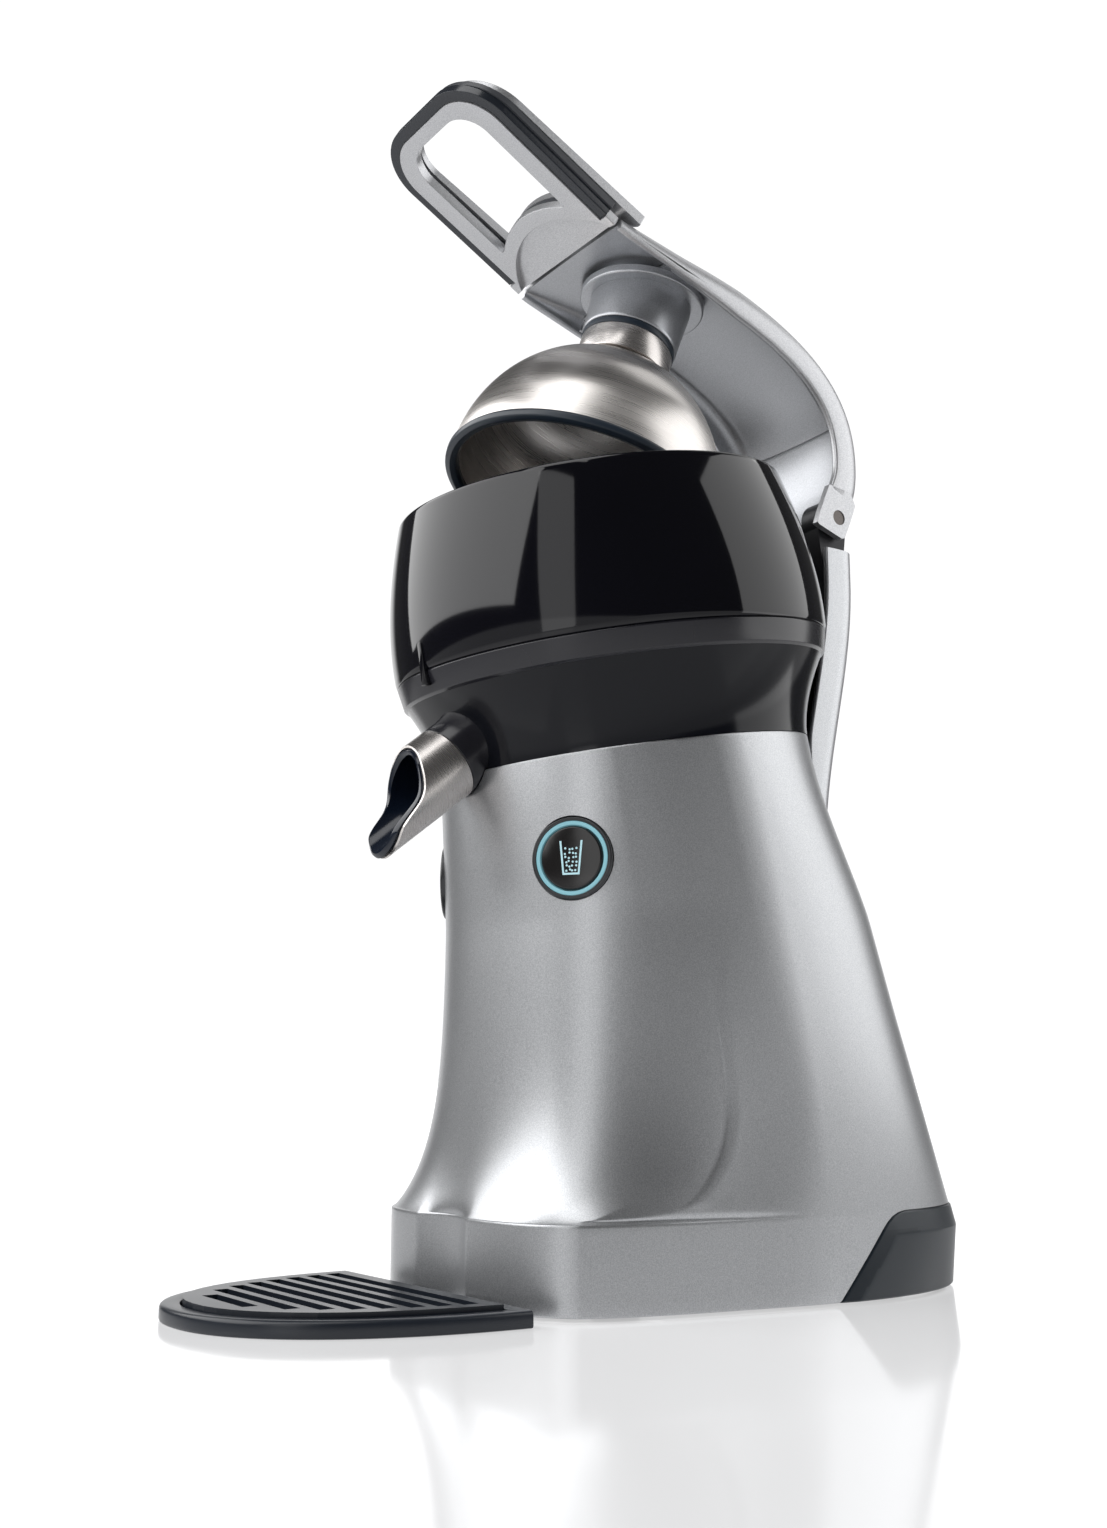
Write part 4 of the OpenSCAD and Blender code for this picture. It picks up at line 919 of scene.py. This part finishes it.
def build_press_dome():
    low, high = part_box("dome_neck")
    neck = (high.x - low.x) / 2 / MM
    sleeve = rounded([(16, 0), (neck + 0.5, 0), (neck + 0.7, 1.2), (neck + 1, 10), (neck + 1.6, 22),
                      (21.5, 24.6), (16, 24.6)], [0.3, 0.5, 0.4, 0, 0, 0.3, 0.3], 3)
    # the sleeve under the arm takes the darker paint: painted shade
    piece("press_sleeve_shell", lathe(sleeve), "press_arm", ["press_sleeve"],
          SHADED_SILVER, at=DOME)
    gasket = [(BORE_R, -GASKET_H), (neck + 0.3, -GASKET_H), (neck + 0.3, -0.05), (BORE_R, -0.05)]
    piece("dome_gasket_ring", lathe(rounded(gasket, 0.5, 3)), "press_arm", ["dome_gasket"],
          RUBBER, at=DOME)
    collar = [(BORE_R, NECK_LOW), (neck, NECK_LOW), (neck, -GASKET_H), (BORE_R, -GASKET_H)]
    piece("dome_neck_collar", lathe(rounded(collar, [0.2, 0.4, 0.5, 0.2], 3)), "press_arm", ["dome_neck"],
          TUBE_STEEL, at=DOME)
    inside = dome_curve(DOME_R - DOME_WALL, DOME_H - DOME_WALL)
    piece("press_dome_shell", lathe(dome_curve(DOME_R, DOME_H) + inside[::-1], 192), "press_arm",
          ["press_dome"], BRUSHED, at=DOME)
    seal = rounded([(-4, -0.1), (0.6, -0.1), (1.4, -1.4), (1.2, -3.6), (-1, -4.4), (-3.4, -3.6), (-4.4, -2)],
                   0.8, 3)
    piece("dome_rim_seal_ring", lathe([(DOME_R + r, h - DOME_DROP) for r, h in seal], 192), "press_arm",
          ["dome_rim_seal"], RUBBER, at=DOME)


# ---------------- funnel, ring, bowl
RING_LOW, RING_HIGH, TOP_R, FUNNEL_WALL = 31.35, 41.15, 84.9, 2.6
BOWL_LOW_R, BOWL_TOP_R, BOWL_TOP, BOWL_WALL = 88.3, 79.05, 106.8, 2.4


def funnel_r(h):
    return WAIST_R + (TOP_R - WAIST_R) * (h / RING_LOW) ** 1.7


def bowl_r(t):
    return mix(BOWL_LOW_R, BOWL_TOP_R, t ** 1.9) + sind(180 * t ** 0.75)


def build_collector():
    outer = [(funnel_r(RING_LOW * i / 24), RING_LOW * i / 24) for i in range(25)]
    inner = [(funnel_r(h) - FUNNEL_WALL, h) for h in (mix(4, RING_LOW, i / 10) for i in range(10, 0, -1))]
    floor_and_hub = [(WAIST_R - 6, 4), (14, 7), (12, 9), (12, 30), (10, 30)]
    piece("collector_funnel", lathe([(10, 0.4), (WAIST_R - 0.3, 0.0), *outer, *inner, *floor_and_hub], 192),
          "base", ["collector"], FUNNEL_BLACK, at=BOWL)
    ring = rounded([(TOP_R - 5, RING_LOW), (TOP_R, RING_LOW), (TOP_R + 1.4, RING_LOW + 0.9),
                    (TOP_R + 3, RING_HIGH - 0.7), (TOP_R + 2.6, RING_HIGH), (TOP_R - 5, RING_HIGH)],
                   [0.2, 0.3, 0.6, 0.5, 0.3, 0.2], 4)
    piece("collector_ring_band", lathe(ring, 192), "base", ["collector_ring"],
          SATIN_BLACK, at=BOWL)


def build_bowl():
    high = BOWL_TOP - RING_HIGH
    bottom = [(TOP_R - 5, RING_HIGH + 0.02), (BOWL_LOW_R - 0.8, RING_HIGH + 0.02),
              (BOWL_LOW_R - 0.2, RING_HIGH + 0.3)]
    outer = [(bowl_r(i / 48), RING_HIGH + high * i / 48) for i in range(1, 48)]
    rim = [(BOWL_TOP_R + r, BOWL_TOP + h)
           for r, h in ((0.1, -0.5), (-0.35, -0.08), (-1.2, 0), (-2.05, -0.12), (-2.4, -0.6))]
    inner = [(bowl_r(i / 30) - BOWL_WALL, RING_HIGH + BOWL_WALL + (high - BOWL_WALL) * i / 30)
             for i in range(29, -1, -1)]
    outline = bottom + outer + rim + inner + [(TOP_R - 5, RING_HIGH + BOWL_WALL)]
    piece("bowl_shell", lathe(outline, 256), "base", ["bowl"], GLOSS_BLACK, at=BOWL)


def build_bowl_lock_tab():
    bm = bmesh.new()
    bmesh.ops.create_cube(bm, size=1)
    for vert in bm.verts:
        x, y, z = vert.co
        vert.co = (3.4 * x, 3 * y - 88.1, 17 * z + 43.5)
    piece("bowl_lock_tab", bevelled(bm, 0.7, 3), "base", [], GLOSS_BLACK, at=BOWL)


# ---------------- spout
# the mouth's S cut from the side: (distance below the spout's axis, distance along it)
MOUTH = [(-16, 11.5), (-12, 14), (-7.4, 17.5), (-2, 21), (0.7, 23), (2.5, 25.4), (3.8, 28), (4.9, 31.5),
         (6, 36), (6.8, 37.8), (8.5, 39.4), (11, 41.4), (14, 44.4), (16, 46)]
LINER_BORE, SLEEVE_WALL, LIP = 11.2, 1.25, 0.45


def mouth_end(y, back):
    """Distance along the spout at which its wall ends; y is up across the spout."""
    return sum(along(MOUTH, -y + 0.5 * k) for k in range(-3, 4)) / 7 - back


def cut_tube(r_out, r_in, start, back, n=144, m=22):
    """Rings along the outside of a tube with an S-cut mouth, over its round lip and back along the inside."""
    angles = [2 * math.pi * k / n for k in range(n)]
    ends = [mouth_end(math.sin(a) * SPOUT_R, back) for a in angles]

    def ring(r, s, proud=0.0):
        return [(r * math.cos(a), r * math.sin(a), mix(start, end, s) + proud)
                for a, end in zip(angles, ends)]

    outside = [ring(r_out, s / m) for s in range(m + 1)]
    inside = [ring(r_in, s / m) for s in range(m, -1, -1)]
    return outside + [ring((r_out + r_in) / 2, 1, LIP)] + inside


def build_spout():
    sleeve = grid(cut_tube(SPOUT_R, SPOUT_R - SLEEVE_WALL, 0.35, 1.6), loop=True)
    piece("spout_sleeve_tube", sleeve, "spout", ["spout_sleeve"], TUBE_STEEL, at=SPOUT,
          sharp=40)
    liner = grid(cut_tube(SPOUT_R - SLEEVE_WALL - 0.07, LINER_BORE, 0.3, 0.0), loop=True)
    piece("spout_liner_tube", liner, "spout", ["spout_liner"], LINER, at=SPOUT, sharp=50)
    collar = rounded([(11, -24), (20, -24), (18.2, -19), (16.4, -15), (15.3, -11), (SPOUT_R + 0.05, -7),
                      (SPOUT_R, 0), (12.95, 0), (12.95, -10), (11, -10)], [0] * 6 + [0.4, 0.2, 0, 0], 3)
    piece("spout_collar_neck", lathe(collar, 144), "base", ["spout_collar"],
          SATIN_BLACK, at=SPOUT)


# ---------------- buttons
SIGN_LOW, SIGN_HIGH = 1.5, 1.95


def glass_sign():
    """Outlines of a plain drinking glass with bubbles in it."""
    loops = [[(-4.4, 6.2), (-3.2, -6.2), (3.2, -6.2), (4.4, 6.2), (3.7, 6.2), (2.6, -5.5), (-2.6, -5.5),
              (-3.7, 6.2)]]
    for i in range(6):
        for j in range(4):
            x = (j - 1.5) * (1.45 - 0.06 * i) + 0.25 * math.sin(5 * i + 2 * j)
            y = 3.2 - 1.55 * i + 0.25 * math.cos(3 * i + 4 * j)
            loops.append([(x + 0.42 * cosd(60 * k), y + 0.42 * sind(60 * k)) for k in range(6)])
    return loops


def raised(loops, low, high):
    """Each outline as a small prism of its own."""
    verts, faces = [], []
    for loop in loops:
        base, count = len(verts), len(loop)
        verts += [(x, y, low) for x, y in loop] + [(x, y, high) for x, y in loop]
        faces += [tuple(reversed(range(base, base + count))), tuple(range(base + count, base + 2 * count))]
        faces += [(base + k, base + (k + 1) % count, base + count + (k + 1) % count, base + count + k)
                  for k in range(count)]
    return verts, faces


def build_button(side, word):
    at, body = button_frame(side), "button_" + word
    bezel = rounded([(13.7, -7), (15.3, -7), (15.3, 0.8), (14.8, 1.3), (13.7, 1.3)], [0, 0, 0.5, 0.3, 0.3], 3)
    piece("button_bezel_" + word, lathe(bezel), "base", ["button_bezels"], BEZEL,
          at=at)
    light = rounded([(12.1, -7), (13.65, -7), (13.65, 1.05), (12.1, 1.05)], [0, 0, 0.3, 0.3], 3)
    piece("button_light_ring_" + word, lathe(light), "base", ["button_light_rings"],
          LIGHT_BLUE, at=at)
    cap = rounded([(0, -12), (3, -12), (3, -4.5), (11.75, -4.5), (11.75, 0.6), (11.2, 1.4), (6, 1.7),
                   (0, 1.8)], [0, 0, 0, 0, 0.4, 0.6, 0, 0], 4)
    piece("button_cap_dome_" + word, lathe(cap), body, ["button_cap_" + word],
          CAP_BLACK, at=at)
    piece("button_sign_" + word, raised(glass_sign(), SIGN_LOW, SIGN_HIGH), body, [],
          SYMBOL, at=at)


# ---------------- drip tray
# a half oval with a straight rear edge; TRAY_N is the power of its curve
TRAY_BACK, TRAY_LEN, TRAY_W, TRAY_H, TRAY_N = -64.0, 98.5, 66.0, 5.7, 2.2
TRAY_RIM, TRAY_FLOOR = 6.0, 1.8


def tray_loop(inset, z, n=72):
    """The tray's outline at height z, drawn in by inset; within the rim its rear edge stands forward too."""
    out, back = [], TRAY_RIM if inset >= TRAY_RIM else 0
    for i in range(n + 1):
        c, s = cosd(180 * i / n), max(0, sind(180 * i / n))
        x = math.copysign((TRAY_W - inset) * abs(c) ** (2 / TRAY_N), c)
        y = TRAY_BACK - (TRAY_LEN - inset) * s ** (2 / TRAY_N)
        out.append((x, min(y, TRAY_BACK - back), z))
    return out


def build_drip_tray():
    outside = [(1.0, 0), (0.3, 0.25), (0, 0.9), (0, TRAY_H - 1.6), (0.25, TRAY_H - 0.7), (0.9, TRAY_H - 0.15)]
    rim = [(1.8, TRAY_H), (TRAY_RIM, TRAY_H), (6.7, TRAY_H - 0.3), (7.0, TRAY_H - 0.9), (7.0, TRAY_FLOOR)]
    shape = capped([tray_loop(inset, z) for inset, z in outside + rim])
    piece("drip_tray_shell", shape, "tray", ["drip_tray"], TRAY, sharp=40)


# ---------------- pieces that keep their CAD shape
KEPT_SHAPES = {
    SATIN_BLACK: ("base_plate", "button_carriers", "micro_switches"),
    RUBBER: ("rubber_feet", "shaft_seal", "cord_gland"),
    PLATED: ("base_screws", "hinge_screws", "dome_screw", "strainer", "drive_shaft", "middle_axle",
             "gearbox_pillars"),
    HINGE_BLACK: ("hinge_frame", "hinge_washers"),
    BRONZE: ("hinge_bushes", "shaft_bush"),
    PIN_STEEL: ("hinge_pin",),
    GLOSS_BLACK: ("reamer",),
    GEAR_WHITE: ("output_gear", "middle_gear"),
    COPPER: ("motor_rotor",),
    MAGNET: ("motor_magnets",),
    ZINC: ("motor_can", "motor_end_cap", "gear_plate_upper", "gear_plate_lower"),
    BOARD: ("control_board",),
    TRAY: ("tray_grille",),
}


def finish_kept_shapes():
    for mat, names in KEPT_SHAPES.items():
        for name in names:
            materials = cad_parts[name].data.materials
            materials.clear()
            materials.append(mat)


# ---------------- floor, light, camera
FLOOR_HALF = 30.0
STUDIO_DIM, BACKDROP = 0.07, 1.08
MIDDLE = (0, 0.02, 0.25)


def build_floor():
    mat = surface("studio_floor", (0.42, 0.42, 0.425), 0.09, vary=0.004, rough_vary=0.01, grain=0.0,
                  emission=(0.92, 0.92, 0.925), glow=0.5)
    mesh = bpy.data.meshes.new("studio_floor")
    corners = [(x * FLOOR_HALF, y * FLOOR_HALF, 0) for x, y in ((-1, -1), (1, -1), (1, 1), (-1, 1))]
    mesh.from_pydata(corners, [], [(0, 1, 2, 3)])
    mesh.materials.append(mat)
    add_object("studio_floor", mesh)


def build_world():
    """The studio is dim but for a white backdrop behind the object."""
    world = bpy.data.worlds.new("studio")
    bpy.context.scene.world = world
    world.use_nodes = True
    tree = world.node_tree
    new = tree.nodes.new
    back = tree.nodes["Background"]
    fill(back, Color=(0.97, 0.97, 0.975, 1))
    coords = new("ShaderNodeTexCoord")
    facing = new("ShaderNodeVectorMath")
    facing.operation = "DOT_PRODUCT"
    facing.inputs[1].default_value = Vector((-0.835, 0.55, 0.1)).normalized()
    link(tree, coords, "Generated", facing, 0)
    backdrop = new("ShaderNodeMapRange")
    backdrop.interpolation_type = "SMOOTHSTEP"
    fill(backdrop, From_Min=0.84, From_Max=0.93, To_Min=STUDIO_DIM, To_Max=BACKDROP)
    link(tree, facing, "Value", backdrop, "Value")
    path = new("ShaderNodeLightPath")
    seen = new("ShaderNodeMapRange")
    fill(seen, To_Min=0.0, To_Max=BACKDROP)
    link(tree, path, "Is Camera Ray", seen, "Value")
    brighter = new("ShaderNodeMath")
    brighter.operation = "MAXIMUM"
    link(tree, seen, "Result", brighter, 0)
    link(tree, backdrop, "Result", brighter, 1)
    link(tree, brighter, "Value", back, "Strength")


def softbox(name, compass, climb, reach, size, radiance):
    """A rectangular light seen from the object's middle at a compass angle and a climb, both in degrees."""
    light = bpy.data.lights.new(name, "AREA")
    light.shape, light.size, light.size_y = "RECTANGLE", size[0], size[1]
    light.energy = radiance * math.pi * size[0] * size[1]
    ob = add_object(name, light)
    away = Vector((cosd(climb) * cosd(compass), cosd(climb) * sind(compass), sind(climb)))
    ob.location = Vector(MIDDLE) + away * reach
    ob.rotation_euler = (-away).to_track_quat("-Z", "Y").to_euler()


def build_lights():
    softbox("left_panel", -117, 30, 0.95, (1.5, 0.82), 3.0)
    softbox("front_strip", -59, 14, 1.0, (0.30, 0.9), 1.35)
    softbox("right_panel", 60, 20, 0.95, (0.95, 0.95), 1.7)
    softbox("high_front", -62, 60, 1.1, (0.6, 0.6), 2.6)
    softbox("high_back", 120, 60, 1.1, (1.0, 0.7), 0.8)


def build_camera():
    camera = bpy.data.cameras.new("camera")
    camera.lens, camera.sensor_width, camera.sensor_fit = 39.33, 36, "AUTO"
    camera.clip_start, camera.clip_end = 0.01, 50
    ob = add_object("camera", camera)
    ob.location = (0.54431, -0.37101, 0.0805)
    ob.rotation_euler = (math.radians(100.63), 0, math.radians(56.65))
    bpy.context.scene.camera = ob
    bpy.context.scene.view_settings.view_transform = "Standard"


# ---------------- the whole model
build_housing()
build_rear_foot_cover()
build_lever_arm()
build_arm_cheeks()
build_spine_cover()
build_arm_inner_cover()
build_handle_frame()
build_handle_grips()
build_handle_cover()
build_press_dome()
build_collector()
build_bowl()
build_bowl_lock_tab()
build_spout()
build_button(-1, "left")
build_button(1, "right")
build_drip_tray()
finish_kept_shapes()
build_floor()
build_world()
build_lights()
build_camera()
